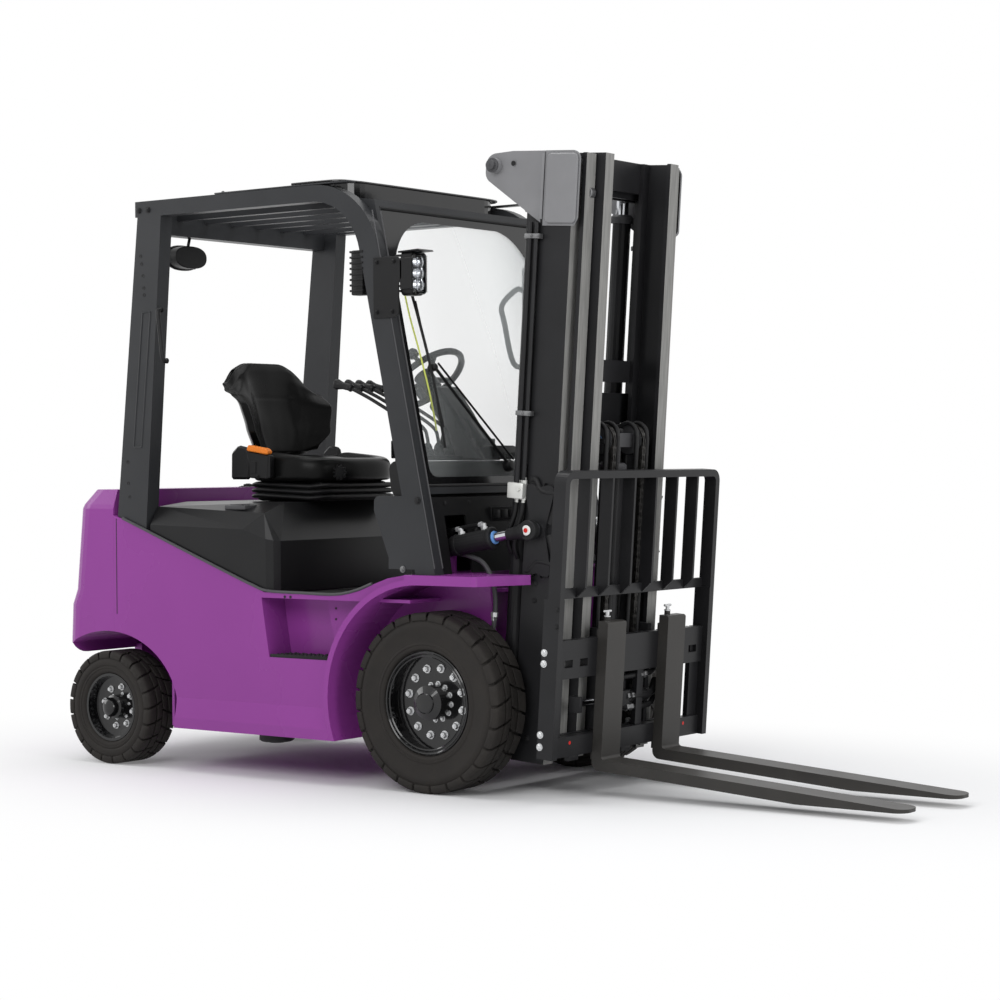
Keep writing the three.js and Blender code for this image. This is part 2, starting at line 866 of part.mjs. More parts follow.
function seatBackrest() {
  const side = alongY(
    [
      [seatRearX - 75, 1125, 30],
      [seatRearX - seat, 1125],
      [seatRearX - seat, 1218],
      [seatRearX + 20, 1240],
      [seatRearX + 25, 1330],
      [seatRearX - 30, 1582, 25],
      [seatRearX - 120, 1575, 30],
    ],
    -seatHalfWidth,
    seatHalfWidth,
  );
  const front = alongX(
    [
      [60 - seatHalfWidth, 1120, 20],
      [seatHalfWidth - 60, 1120, 20],
      [seatHalfWidth, 1350, 90],
      [seatHalfWidth - 30, 1583, 80],
      [30 - seatHalfWidth, 1583, 80],
      [-seatHalfWidth, 1350, 90],
    ],
    seatRearX - 200,
    seatRearX + 100,
  );
  return side.intersect(front);
}
piece('seat_backrest', seatBackrest(), blackVinyl);

// ---- overhead guard --------------------------------------------------------------------------------

// X of the front leg's leading edge at a height.
const legEdgeAt = (z) =>
  frontLegFootX + ((frontLegTopX - frontLegFootX) * (z - fenderTop)) / (guardTop - fenderTop);

// The side panel's short top edge behind the diagonal, which the guard's rear leg also clears.
const rearEdgeAt = (x) =>
  deckRearHeight + ((diagonalStart[1] - deckRearHeight) * (x - seamX)) / (diagonalStart[0] - seamX);

// The frame around the windscreen, with the sloping panel that closes it to the header.
function screenSurround() {
  const low = 1062;
  const high = 2124;
  const back = 20;
  const depth = 30;
  const half = guardHalfWidth - guardBeamWidth + 1;
  const plate = (z0, z1) =>
    alongY(
      [
        [legEdgeAt(z0) - back - depth, z0],
        [legEdgeAt(z0) - back, z0],
        [legEdgeAt(z1) - back, z1],
        [legEdgeAt(z1) - back - depth, z1],
      ],
      -half,
      half,
    );
  const hole = alongY(
    [
      [legEdgeAt(low) + 60, low + 24],
      [legEdgeAt(high) + 60, high - 24],
      [legEdgeAt(high) - 120, high - 24],
      [legEdgeAt(low) - 120, low + 24],
    ],
    -(half - 22),
    half - 22,
  );
  const closer = alongY(
    [
      [legEdgeAt(high) - back, high - 22],
      [legEdgeAt(high) - back, high],
      [headerFrontX - 10, guardTop - 42],
      [-470, guardTop - 42],
      [-470, guardTop - 54],
      [headerFrontX - 8, guardTop - 54],
      [legEdgeAt(high) - back - depth, high - 22],
    ],
    -half,
    half,
  );
  return join(cut(plate(low, high), hole), closer);
}

function overheadGuard() {
  const parts = [];
  for (const { s } of sides) {
    const y0 = s * (guardHalfWidth - guardBeamWidth);
    const y1 = s * guardHalfWidth;
    const foot = fenderTop + seat;
    const under = guardTop - guardBeamDepth;
    parts.push(
      alongY(
        [
          [guardRearX, under],
          [legEdgeAt(under) - frontLegWidth, under, 230],
          [legEdgeAt(foot) - frontLegWidth, foot],
          [legEdgeAt(foot), foot],
          [frontLegTopX, guardTop, 310],
          [guardRearX, guardTop],
        ],
        y0,
        y1,
        12,
      ),
      alongY(
        [
          [seamX + 21, Math.max(sideTopAt(seamX + 21), rearEdgeAt(seamX + 21)) + seat],
          [seamX + 174, sideTopAt(seamX + 174) + seat],
          [guardRearX + 138, under + 10],
          [guardRearX + 13, under + 10],
        ],
        s * (guardHalfWidth - 62),
        y1,
      ),
      alongY(
        [
          [-150, 796],
          [-30, 796],
          [-75, 1056],
          [-214, 1056, 22],
          [-216, 1005],
          [-149, 835],
        ],
        s * (guardHalfWidth - 8),
        y1,
      ),
    );
  }
  const inner = guardHalfWidth - guardBeamWidth + 1;
  parts.push(box(guardRearX + 8, guardRearX + 70, -inner, inner, crossBeamBottom, guardTop - 8));
  parts.push(box(-470, -420, -inner, inner, guardTop - 68, guardTop - 40));
  for (let i = 0; i < slatCount; i += 1) {
    const y = (i - (slatCount - 1) / 2) * slatPitch;
    parts.push(box(guardRearX + 60, -440, y - 14, y + 14, guardTop - 66, guardTop - 42));
  }
  parts.push(screenSurround());
  return join(parts);
}
piece('overhead_guard', overheadGuard(), blackSteel);

// The header over the windscreen.
const headerHalfWidth = guardHalfWidth - guardBeamWidth - seat;
piece(
  'guard_header',
  alongZ(
    [
      [headerRearX, -headerHalfWidth, 20],
      [headerFrontX, -headerHalfWidth, 130],
      [headerFrontX, headerHalfWidth, 130],
      [headerRearX, headerHalfWidth, 20],
    ],
    guardTop - 40 + seat,
    guardTop + headerRise,
  ),
  blackSteel,
);

function windscreen() {
  const low = 1062 + 24 + seat;
  const high = 2124 - 24 - seat;
  const back = 30;
  return alongY(
    [
      [legEdgeAt(low) - back - glassThickness, low],
      [legEdgeAt(low) - back, low],
      [legEdgeAt(high) - back, high],
      [legEdgeAt(high) - back - glassThickness, high],
    ],
    -(guardHalfWidth - guardBeamWidth - 21 - seat),
    guardHalfWidth - guardBeamWidth - 21 - seat,
  );
}
piece('windscreen', windscreen(), glass);

for (const { name, s } of sides) {
  const z = 1850;
  const x = legEdgeAt(z) + 30;
  const bracket = box(x - 110, x - 10, s * (guardHalfWidth + seat), s * (guardHalfWidth + 6), z - 60, z + 60);
  const arm = box(x - 30, x + 30, s * (guardHalfWidth - 20), s * (guardHalfWidth + 6), z - 40, z + 40);
  const lamp = box(x + 12, x + 75, s * (guardHalfWidth - 95), s * (guardHalfWidth + 5), z - 75, z + 75);
  const outerFace = s * (guardHalfWidth + seat);
  const legClearance = box(x - 40, x + 1, s * (guardHalfWidth - 30), outerFace, z - 80, z + 80);
  const armClear = cut(arm, legClearance);
  piece(`headlight_${name}`, join(bracket, armClear, lamp), blackPlastic);
}

piece(
  'work_lamp',
  join(
    box(guardRearX - 12, guardRearX + 8 - seat, -330, -290, 2035, 2095),
    rod([guardRearX - 40, -310, 1995], [guardRearX, -310, 2050], 8, 12),
    rod([guardRearX - 80, -310, 1960], [guardRearX - 20, -310, 1960], 48, 24),
    box(guardRearX - 50, guardRearX + 4, -316, -304, 1960, 2040),
  ),
  blackPlastic,
);

// ---- mast ------------------------------------------------------------------------------------------

const middleRailFrontX = outerRailFrontX + railStep;
const innerRailFrontX = middleRailFrontX + railStep;

// A channel rail on side s: web outside, flanges inwards. reach is how far the flanges go past the web
// on the outside, for the middle stage whose flanges face both ways.
function rail(s, frontX, outerY, flangeWidth, webInset, z0, z1) {
  const rear = frontX - railDepth;
  const webOuter = outerY - webInset;
  return join(
    box(frontX - railFlange, frontX, s * outerY, s * (outerY - flangeWidth), z0, z1),
    box(rear, rear + railFlange, s * outerY, s * (outerY - flangeWidth), z0, z1),
    box(rear, frontX, s * webOuter, s * (webOuter - railWeb), z0, z1),
  );
}

// The tilt cylinder's mast end: a cast bracket on the rail's side with a pin.
const lean = THREE.MathUtils.degToRad(mastLean);
const mastPin = (() => {
  const dx = tiltMastX - pivotX;
  const dz = tiltMastZ - pivotZ;
  return [
    pivotX + dx * Math.cos(lean) - dz * Math.sin(lean),
    pivotZ + dx * Math.sin(lean) + dz * Math.cos(lean),
  ];
})();

// The bracket's four arms, from the middle of the rail at the pin's height.
const castArms = [
  [-58, -160, 12],
  [-18, -160, 12],
  [0, -75, 20],
  [18, -160, 12],
  [58, -160, 12],
  [58, -120, 12],
  [30, 0, 30],
  [58, 120, 12],
  [58, 160, 12],
  [18, 160, 12],
  [0, 75, 20],
  [-18, 160, 12],
  [-58, 160, 12],
  [-58, 120, 12],
  [-30, 0, 30],
  [-58, -120, 12],
];

function mastOuter() {
  const parts = [];
  const top = mastTop - 25;
  const plateTop = mastTop;
  const rear = outerRailFrontX - railDepth;
  for (const { s } of sides) {
    parts.push(rail(s, outerRailFrontX, outerRailY, outerFlangeWidth, 0, mastBottom, top));
    const foot = alongY(
      [
        [rear + 10, 200],
        [rear + 10, 470],
        [pivotX - 20, pivotZ + 48, 30],
        [pivotX - 48, pivotZ, 30],
        [pivotX, pivotZ - 48, 30],
      ],
      s * 308,
      s * 322,
    );
    parts.push(cut(foot, rod([pivotX, s * 300, pivotZ], [pivotX, s * 330, pivotZ], 25)));
    parts.push(
      alongY(
        castArms.map(([dx, dz, r]) => [rear + railDepth / 2 + dx, mastPin[1] + dz, r]),
        s * (outerRailY - 2),
        s * (outerRailY + 13),
        4,
      ),
    );
    parts.push(
      alongY(
        [
          [rear + 10, plateTop - 258],
          [rear + 10, plateTop],
          [110, plateTop, 30],
          [-7, plateTop - 12, 45],
          [-7, plateTop - 96, 40],
          [60, plateTop - 138],
        ],
        s * (outerRailY - 14),
        s * (outerRailY),
      ),
    );
    parts.push(
      rod([41, s * (outerRailY - 20), plateTop - 52], [41, s * (outerRailY + 26), plateTop - 52], 26),
    );
    parts.push(
      alongY(
        [
          [rear + 14, plateTop - 262],
          [outerRailFrontX + 12, plateTop - 262],
          [outerRailFrontX + 28, plateTop - 235],
          [outerRailFrontX + 28, plateTop, 30],
          [rear + 14, plateTop],
        ],
        s * (outerRailY - 1),
        s * (outerRailY + 6),
      ),
    );
    parts.push(
      rod(
        [mastPin[0], s * (outerRailY - 4), mastPin[1]],
        [mastPin[0], s * (tiltY + 24), mastPin[1]],
        mastPinRadius,
      ),
    );
  }
  parts.push(box(rear - 16, rear + 1, -outerRailY, outerRailY, mastBottom, 215));
  parts.push(box(liftCylinderX - 45, rear + 1, -outerRailY, outerRailY, mastBottom, 150));
  parts.push(box(rear - 14, rear + 1, -outerRailY, outerRailY, 1180, 1300));
  parts.push(box(rear - 14, rear + 1, -outerRailY, outerRailY, top - 110, top));
  return join(parts);
}

piece('mast_outer', mastOuter(), blackSteel, mast);

function mastMiddle() {
  const parts = [];
  const rear = middleRailFrontX - railDepth;
  for (const { s } of sides) {
    const x = outerRailFrontX - railDepth / 2;
    const z = mastBottom + 90;
    parts.push(
      rail(s, middleRailFrontX, middleRailY, middleFlangeWidth, middleWebInset, mastBottom + 30, mastTop - 5),
      rod([x, s * (outerRailY - railWeb - rollerGap), z], [x, s * 255, z], rollerRadius, 28),
    );
  }
  parts.push(box(rear - 15, rear + 1, -(middleRailY - 6), middleRailY - 6, mastBottom + 30, 230));
  parts.push(box(rear - 15, rear + 1, -(middleRailY - 6), middleRailY - 6, 1330, 1440));
  parts.push(box(rear - 15, rear + 1, -(middleRailY - 6), middleRailY - 6, mastTop - 130, mastTop - 5));
  parts.push(
    box(liftCylinderX - 40, rear + 1, 2 - middleRailY, middleRailY - 2, mastTop - liftHeadDepth, mastTop - 5),
  );
  return join(parts);
}
piece('mast_middle', mastMiddle(), blackSteel, mast);

function mastInner() {
  const parts = [];
  const rear = innerRailFrontX - railDepth;
  for (const { s } of sides) {
    parts.push(rail(s, innerRailFrontX, innerRailY, innerFlangeWidth, 0, mastBottom + 30, mastTop));
    const guide = middleRailY - middleWebInset - railWeb - seat;
    parts.push(box(rear + 12, rear + 70, s * (innerRailY - 1), s * guide, mastBottom + 40, mastBottom + 160));
  }
  parts.push(box(rear - 16, rear + 1, -innerRailY, innerRailY, mastBottom + 30, 215));
  parts.push(box(rear - 16, rear + 1, -innerRailY, innerRailY, 1480, 1560));
  parts.push(box(rear - 16, rear + 1, -innerRailY, innerRailY, mastTop - 110, mastTop));
  parts.push(box(rear - 16, innerRailFrontX - 30, -innerRailY, innerRailY, mastBottom + 30, 180));
  return join(parts);
}
piece('mast_inner', mastInner(), blackSteel, mast);

const liftBarrelTop = mastTop - 190;
for (const { name, s } of sides) {
  const y = s * liftCylinderY;
  const barrel = cut(
    rod([liftCylinderX, y, 150 + seat], [liftCylinderX, y, liftBarrelTop], liftBarrelRadius),
    rod([liftCylinderX, y, 400], [liftCylinderX, y, liftBarrelTop + 1], liftRodRadius + pinPlay),
  );
  piece(`lift_barrel_${name}`, barrel, blackSteel, mast);
  piece(
    `lift_rod_${name}`,
    rod([liftCylinderX, y, 430], [liftCylinderX, y, mastTop - liftHeadDepth - seat], liftRodRadius),
    chrome,
    mast,
  );
}

const freeBarrelTop = 1180;
const sheaveX = freeCylinderX + 10;
const sheaveZ = crossheadHeight + 5;
const alongSheavePin = (y0, y1, radius, segments) =>
  rod([sheaveX, y0, sheaveZ], [sheaveX, y1, sheaveZ], radius, segments);
piece(
  'free_lift_barrel',
  cut(
    rod([freeCylinderX, 0, 180 + seat], [freeCylinderX, 0, freeBarrelTop], freeBarrelRadius),
    rod([freeCylinderX, 0, 260], [freeCylinderX, 0, freeBarrelTop + 1], freeRodRadius + pinPlay),
  ),
  blackSteel,
  mast,
);
piece(
  'free_lift_crosshead',
  join(
    rod([freeCylinderX, 0, 280], [freeCylinderX, 0, crossheadHeight], freeRodRadius),
    box(freeCylinderX - 34, freeCylinderX + 34, -70, 70, crossheadHeight - 20, crossheadHeight + 30),
    alongSheavePin(-120, 120, 14, 20),
    alongSheavePin(-112, -78, 52, 32),
    alongSheavePin(78, 112, 52, 32),
  ),
  darkGrey,
  mast,
);

// ---- tilt cylinders --------------------------------------------------------------------------------

const tiltVector = new THREE.Vector2(tiltMastX - tiltFrameX, tiltMastZ - tiltFrameZ);
const tiltLength = tiltVector.length();
const tiltDirection = tiltVector.clone().normalize();
const alongTilt = (d, y) => [tiltFrameX + tiltDirection.x * d, y, tiltFrameZ + tiltDirection.y * d];

for (const { name, s } of sides) {
  const y = s * tiltY;
  const barrel = cut(
    join(
      rod(alongTilt(42, y), alongTilt(224, y), tiltBarrelRadius),
      rod([tiltFrameX, y - 24, tiltFrameZ], [tiltFrameX, y + 24, tiltFrameZ], 34),
      rod(alongTilt(0, y), alongTilt(50, y), 22),
    ),
    rod(alongTilt(60, y), alongTilt(240, y), tiltRodRadius + pinPlay),
    rod([tiltFrameX, y - 30, tiltFrameZ], [tiltFrameX, y + 30, tiltFrameZ], tiltEyeBore),
  );
  piece(`tilt_barrel_${name}`, barrel, blackSteel);
  const rodPiece = cut(
    join(
      rod(alongTilt(170, y), alongTilt(tiltLength - 20, y), tiltRodRadius),
      rod([tiltMastX, y - 18, tiltMastZ], [tiltMastX, y + 18, tiltMastZ], 30),
    ),
    rod([tiltMastX, y - 30, tiltMastZ], [tiltMastX, y + 30, tiltMastZ], tiltEyeBore),
  );
  piece(`tilt_rod_${name}`, rodPiece, chrome);
}

// ---- carriage, side shifter and forks --------------------------------------------------------------

const carriageFrontX = forkBarFrontX - forkBarThickness - 5;

function carriage() {
  const parts = [];
  const x = innerRailFrontX - railDepth / 2;
  for (const { s } of sides) {
    parts.push(box(345, carriageFrontX, s * 150, s * 172, 190, 610));
    for (const z of [250, 550]) {
      parts.push(rod([x, s * 160, z], [x, s * (innerRailY - railWeb - seat), z], rollerRadius, 28));
    }
  }
  parts.push(box(carriageFrontX - 21, carriageFrontX, -362, 362, 196, 250));
  parts.push(box(carriageFrontX - 21, carriageFrontX, -362, 362, 506, 572));
  return join(parts);
}
piece('carriage', carriage(), blackSteel, mast);

function sideShifter() {
  const back = forkBarFrontX - forkBarThickness;
  const w = forkBarHalfWidth;
  const slots = [
    [-423, -374],
    [-330, -283],
    [381, 434],
  ].map(([y0, y1]) => box(back - 1, forkBarFrontX + 1, y0, y1, forkBarTop - 95, forkBarTop - 68));
  const notches = [];
  for (let i = 0; i < notchCount; i += 1) {
    const y = (i - (notchCount - 1) / 2) * notchPitch;
    notches.push(box(back - 1, forkBarFrontX - 9, y - 8, y + 8, forkBarTop - 9, forkBarTop + 1));
  }
  return cut(join(
    cut(box(back, forkBarFrontX, -w, w, forkBarTop - upperBarHeight, forkBarTop), slots),
    box(back, forkBarFrontX, -w, w, forkBarBottom, forkBarBottom + forkBarHeight),
    sides.map(({ s }) => box(back, forkBarFrontX - 12, s * (w - 60), s * w, forkBarBottom, forkBarTop)),
    sides.map(({ s }) => box(back, forkBarFrontX - 12, s * 60, s * 100, forkBarBottom, forkBarTop)),
    box(carriageFrontX + seat, back + 1, -300, 300, 515, 560),
    box(carriageFrontX + seat, back + 1, -300, 300, 205, 240),
  ), notches);
}
piece('side_shifter', sideShifter(), blackSteel, mast);

function loadBackrest() {
  const back = forkBarFrontX - forkBarThickness + 3;
  const front = forkBarFrontX + 22;
  const w = backrestHalfWidth;
  const bar = 11;
  const frame = 26;
  const window = (z0) =>
    alongX(
      [
        [-w + frame, z0],
        [w - frame, z0],
        [w - frame, backrestTop - frame, 20],
        [-w + frame, backrestTop - frame, 20],
      ],
      back - 1,
      front + 1,
    );
  const outer = alongX(
    [
      [-w, backrestBottom],
      [w, backrestBottom],
      [w, backrestTop, 45],
      [-w, backrestTop, 45],
    ],
    back,
    front,
  );
  // The bars stand on a thin rail at the back, and their feet are cut off at a slant.
  const slant = alongY(
    [
      [back + 12, backrestBottom - 1],
      [front + 1, backrestBottom - 1],
      [front + 1, backrestBottom + 40],
      [back + 12, backrestBottom + 2],
    ],
    frame - w,
    w - frame,
  );
  const rail = box(back, back + 12, frame - w - 1, w - frame + 1, backrestBottom, backrestBottom + 35);
  const bars = [];
  const pitch = (2 * w - frame) / (backrestBarCount + 1);
  for (let i = 1; i <= backrestBarCount; i += 1) {
    const y = -w + frame / 2 + i * pitch;
    bars.push(box(back, front, y - bar / 2, y + bar / 2, backrestBottom, backrestTop - 5));
  }
  const parts = [cut(join(cut(outer, window(backrestBottom - 1)), bars), slant), rail];
  for (const { s } of sides) {
    const inside = s * (forkBarHalfWidth + seat);
    parts.push(box(back - 16, front, inside, s * w, forkBarBottom, backrestBottom + 2));
  }
  return join(parts);
}
piece('load_backrest', loadBackrest(), blackSteel, mast);

function fork(y) {
  const back = forkBarFrontX + seat;
  const shankFront = back + forkThickness;
  const tip = shankFront + forkLength;
  const bottom = forkBladeTop - forkThickness;
  const side = alongY(
    [
      [back, forkShankTop],
      [back, bottom, 30],
      [tip - 400, bottom],
      [tip, forkBladeTop - 12],
      [tip, forkBladeTop],
      [shankFront, forkBladeTop, 12],
      [shankFront, forkShankTop, 10],
    ],
    y - forkWidth / 2,
    y + forkWidth / 2,
  );
  const plan = alongZ(
    [
      [back, y - forkWidth / 2],
      [tip, y - forkWidth / 2, 45],
      [tip, y + forkWidth / 2, 45],
      [back, y + forkWidth / 2],
    ],
    0,
    1000,
  );
  const hooks = [
    box(back - 17, back + 1, y - 42, y + 42, forkBarTop + seat, forkBarTop + 26),
    box(back - 17, back + 1, y - 42, y + 42, forkBarBottom - 28, forkBarBottom - seat),
    rod([back - 4, y, forkBarTop + 20], [back - 4, y, forkShankTop + 16], 11, 16),
  ];
  return join(side.intersect(plan), hooks);
}
piece('fork_right', fork(rightForkY), blackSteel, mast);
piece('fork_left', fork(leftForkY), blackSteel, mast);

// ---- origin: middle of the truck's bounding box, on the floor ---------------------------------------

truck.updateMatrixWorld(true);
const bounds = new THREE.Box3().setFromObject(truck, true);
const middle = bounds.getCenter(new THREE.Vector3());
truck.position.set(-middle.x, -middle.y, -bounds.min.z);
truck.updateMatrixWorld(true);

export default truck;
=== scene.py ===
# %% [markdown]
# # An electric forklift truck
#
# The frame, the wheels, the mast and the forks come from CAD, and this script dresses them. It gives
# every surface its finish and adds what is too fine or too soft for CAD: tyre lugs, bolts, a padded
# seat, hoses, chains, glass and lamps. Each added piece rides on the part of the truck it belongs to,
# so it follows when the mast tilts or the forks go up.

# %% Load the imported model
import json
import math

import bmesh
import bpy
from mathutils import Matrix, Vector
from mathutils.bvhtree import BVHTree

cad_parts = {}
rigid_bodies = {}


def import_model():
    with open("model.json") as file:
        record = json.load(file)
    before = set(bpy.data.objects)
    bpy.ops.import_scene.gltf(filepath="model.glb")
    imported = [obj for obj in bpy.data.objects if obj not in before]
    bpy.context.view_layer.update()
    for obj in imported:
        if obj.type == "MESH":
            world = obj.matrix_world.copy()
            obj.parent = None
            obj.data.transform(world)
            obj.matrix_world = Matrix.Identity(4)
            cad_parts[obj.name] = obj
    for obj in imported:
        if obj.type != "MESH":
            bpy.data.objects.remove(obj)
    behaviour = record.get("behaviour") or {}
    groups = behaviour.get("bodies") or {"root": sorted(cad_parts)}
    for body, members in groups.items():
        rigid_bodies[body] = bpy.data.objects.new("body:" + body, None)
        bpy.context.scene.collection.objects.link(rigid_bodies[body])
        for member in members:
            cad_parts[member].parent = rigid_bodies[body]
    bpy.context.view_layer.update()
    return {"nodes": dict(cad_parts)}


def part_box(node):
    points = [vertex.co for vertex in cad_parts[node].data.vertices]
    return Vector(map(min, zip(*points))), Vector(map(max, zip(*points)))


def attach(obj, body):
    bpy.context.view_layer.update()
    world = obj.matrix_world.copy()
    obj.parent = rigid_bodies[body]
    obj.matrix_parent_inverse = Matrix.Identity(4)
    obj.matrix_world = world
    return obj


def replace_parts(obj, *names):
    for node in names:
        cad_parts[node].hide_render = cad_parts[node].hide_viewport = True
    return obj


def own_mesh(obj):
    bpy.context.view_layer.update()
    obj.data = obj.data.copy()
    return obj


for leftover in list(bpy.data.objects):
    bpy.data.objects.remove(leftover)
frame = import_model()

# %% [markdown]
# ## Places on the truck
#
# A maker measures from the middle of the front axle, at floor level: x to the forks, y to the
# driver's left, z up, in millimetres. The mast is drawn upright and leans forward about its pivot, so
# it has a place function of its own. Both turn those sizes into metres in the model's frame.

# %% Measuring from the axle
def middle_of(node):
    low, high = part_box(node)
    return (low + high) / 2


AXLE = Vector((middle_of("front_right_rim").x, 0, 0))
LEAN = math.radians(4)
PIVOT = Vector((100, 0, 300))


def at(x, y, z):
    return AXLE + Vector((x, y, z)) / 1000


def on_mast(x, y, z):
    turned = Matrix.Rotation(LEAN, 3, "Y") @ (Vector((x, y, z)) - PIVOT)
    return AXLE + (PIVOT + turned) / 1000


print("front axle at x =", round(AXLE.x, 4))

# %% [markdown]
# ## Camera
#
# A long lens from hip height keeps the uprights nearly parallel, as in a catalogue. The camera is set
# by where it stands and by three angles: how far round, how far down and how much it rolls.

# %% Camera
def aim(azimuth, down, roll):
    a, p, r = (math.radians(v) for v in (azimuth, down, roll))
    back = Vector((math.sin(a) * math.cos(p), -math.cos(a) * math.cos(p), math.sin(p)))
    right = Vector((math.cos(a), math.sin(a), 0))
    up = back.cross(right)
    x_axis = right * math.cos(r) + up * math.sin(r)
    y_axis = up * math.cos(r) - right * math.sin(r)
    return Matrix((x_axis, y_axis, back)).transposed().to_4x4()


camera = bpy.data.objects.new("camera", bpy.data.cameras.new("camera"))
bpy.context.scene.collection.objects.link(camera)
camera.data.lens = 86.31
camera.matrix_world = Matrix.Translation(AXLE + Vector((5.253, -7.193, 1.187))) @ aim(36.45, 0.99, -0.37)
camera.data.clip_end = 100
bpy.context.scene.camera = camera
print("camera lens", camera.data.lens)

# %% [markdown]
# ## Studio
#
# A pale floor fades into a white backdrop under big soft lamps. The world shows as white to the
# camera, to metal and to glass, and lights everything else more gently, so the blacks stay black.

# %% World
world = bpy.data.worlds.new("studio")
bpy.context.scene.world = world
world.use_nodes = True
wn, wl = world.node_tree.nodes, world.node_tree.links
wn.clear()
rays = wn.new("ShaderNodeLightPath")
seen = wn.new("ShaderNodeMath")
seen.operation = "MAXIMUM"
wl.new(rays.outputs["Is Camera Ray"], seen.inputs[0])
wl.new(rays.outputs["Is Transmission Ray"], seen.inputs[1])
either = wn.new("ShaderNodeMath")
either.operation = "MAXIMUM"
wl.new(seen.outputs[0], either.inputs[0])
wl.new(rays.outputs["Is Glossy Ray"], either.inputs[1])
gentle = wn.new("ShaderNodeBackground")
gentle.inputs["Color"].default_value = (0.95, 0.97, 1.0, 1)
gentle.inputs["Strength"].default_value = 0.3
white = wn.new("ShaderNodeBackground")
white.inputs["Color"].default_value = (1, 1, 1, 1)
white.inputs["Strength"].default_value = 1.0
pick = wn.new("ShaderNodeMixShader")
wl.new(either.outputs[0], pick.inputs[0])
wl.new(gentle.outputs[0], pick.inputs[1])
wl.new(white.outputs[0], pick.inputs[2])
wl.new(pick.outputs[0], wn.new("ShaderNodeOutputWorld").inputs["Surface"])
bpy.context.scene.view_settings.view_transform = "Standard"
print("world ready")

# %% Lamps
def soft_lamp(name, place, target, size, power):
    light = bpy.data.lights.new(name, "AREA")
    light.shape = "RECTANGLE"
    light.size, light.size_y = size
    light.energy = power
    lamp = bpy.data.objects.new(name, light)
    bpy.context.scene.collection.objects.link(lamp)
    way = Vector(target) - Vector(place)
    lamp.matrix_world = Matrix.Translation(place) @ way.to_track_quat("-Z", "Y").to_matrix().to_4x4()
    return lamp


soft_lamp("key", (1.0, -6.5, 4.2), (-0.3, 0, 0.7), (5, 3), 200)
soft_lamp("front", (7.0, -1.0, 2.6), (0.6, 0, 1.0), (3, 3.5), 150)
soft_lamp("top", (-0.4, 0.4, 6.0), (0, 0, 0.5), (6, 4), 210)
soft_lamp("rear", (-6.5, -2.5, 3.0), (-1.2, 0, 0.8), (3, 3), 80)
print("four lamps")

# %% Floor
def studio_floor():
    mat = bpy.data.materials.new("studio_floor")
    mat.use_nodes = True
    n, l = mat.node_tree.nodes, mat.node_tree.links
    n.clear()
    place = n.new("ShaderNodeNewGeometry")
    shape_of = n.new("ShaderNodeVectorMath")
    shape_of.operation = "MULTIPLY"
    shape_of.inputs[1].default_value = (0.75, 1.15, 1)
    length = n.new("ShaderNodeVectorMath")
    length.operation = "LENGTH"
    fade = n.new("ShaderNodeMapRange")
    fade.interpolation_type = "SMOOTHERSTEP"
    fade.inputs["From Min"].default_value = 0.6
    fade.inputs["From Max"].default_value = 2.7
    l.new(place.outputs["Position"], shape_of.inputs[0])
    l.new(shape_of.outputs["Vector"], length.inputs[0])
    l.new(length.outputs["Value"], fade.inputs["Value"])
    matt = n.new("ShaderNodeBsdfDiffuse")
    matt.inputs["Color"].default_value = (0.93, 0.93, 0.935, 1)
    glow = n.new("ShaderNodeEmission")
    glow.inputs["Color"].default_value = (1, 1, 1, 1)
    glow.inputs["Strength"].default_value = 1.0
    mix = n.new("ShaderNodeMixShader")
    l.new(fade.outputs["Result"], mix.inputs[0])
    l.new(matt.outputs[0], mix.inputs[1])
    l.new(glow.outputs[0], mix.inputs[2])
    l.new(mix.outputs[0], n.new("ShaderNodeOutputMaterial").inputs["Surface"])
    mesh = bpy.data.meshes.new("studio_floor")
    shape = bmesh.new()
    bmesh.ops.create_circle(shape, cap_ends=True, radius=24, segments=64)
    shape.to_mesh(mesh)
    shape.free()
    mesh.materials.append(mat)
    made = bpy.data.objects.new("studio_floor", mesh)
    bpy.context.scene.collection.objects.link(made)
    made.location.z = -0.0005
    return made


studio_floor()
print("floor ready")
# %% [markdown]
# ## Finishes
#
# Every finish is made of shader nodes. One helper lays down what most of them share: a colour that
# wanders a little between two tones, a roughness that wanders too, and a fine bump. Each finish then
# says its own tones, scales and depths, because it is those that tell paint from plastic or rubber.

# %% A helper for painted, moulded and cast surfaces
def colour(r, g, b):
    def linear(v):
        v /= 255
        return v / 12.92 if v <= 0.04045 else ((v + 0.055) / 1.055) ** 2.4

    return (linear(r), linear(g), linear(b), 1)


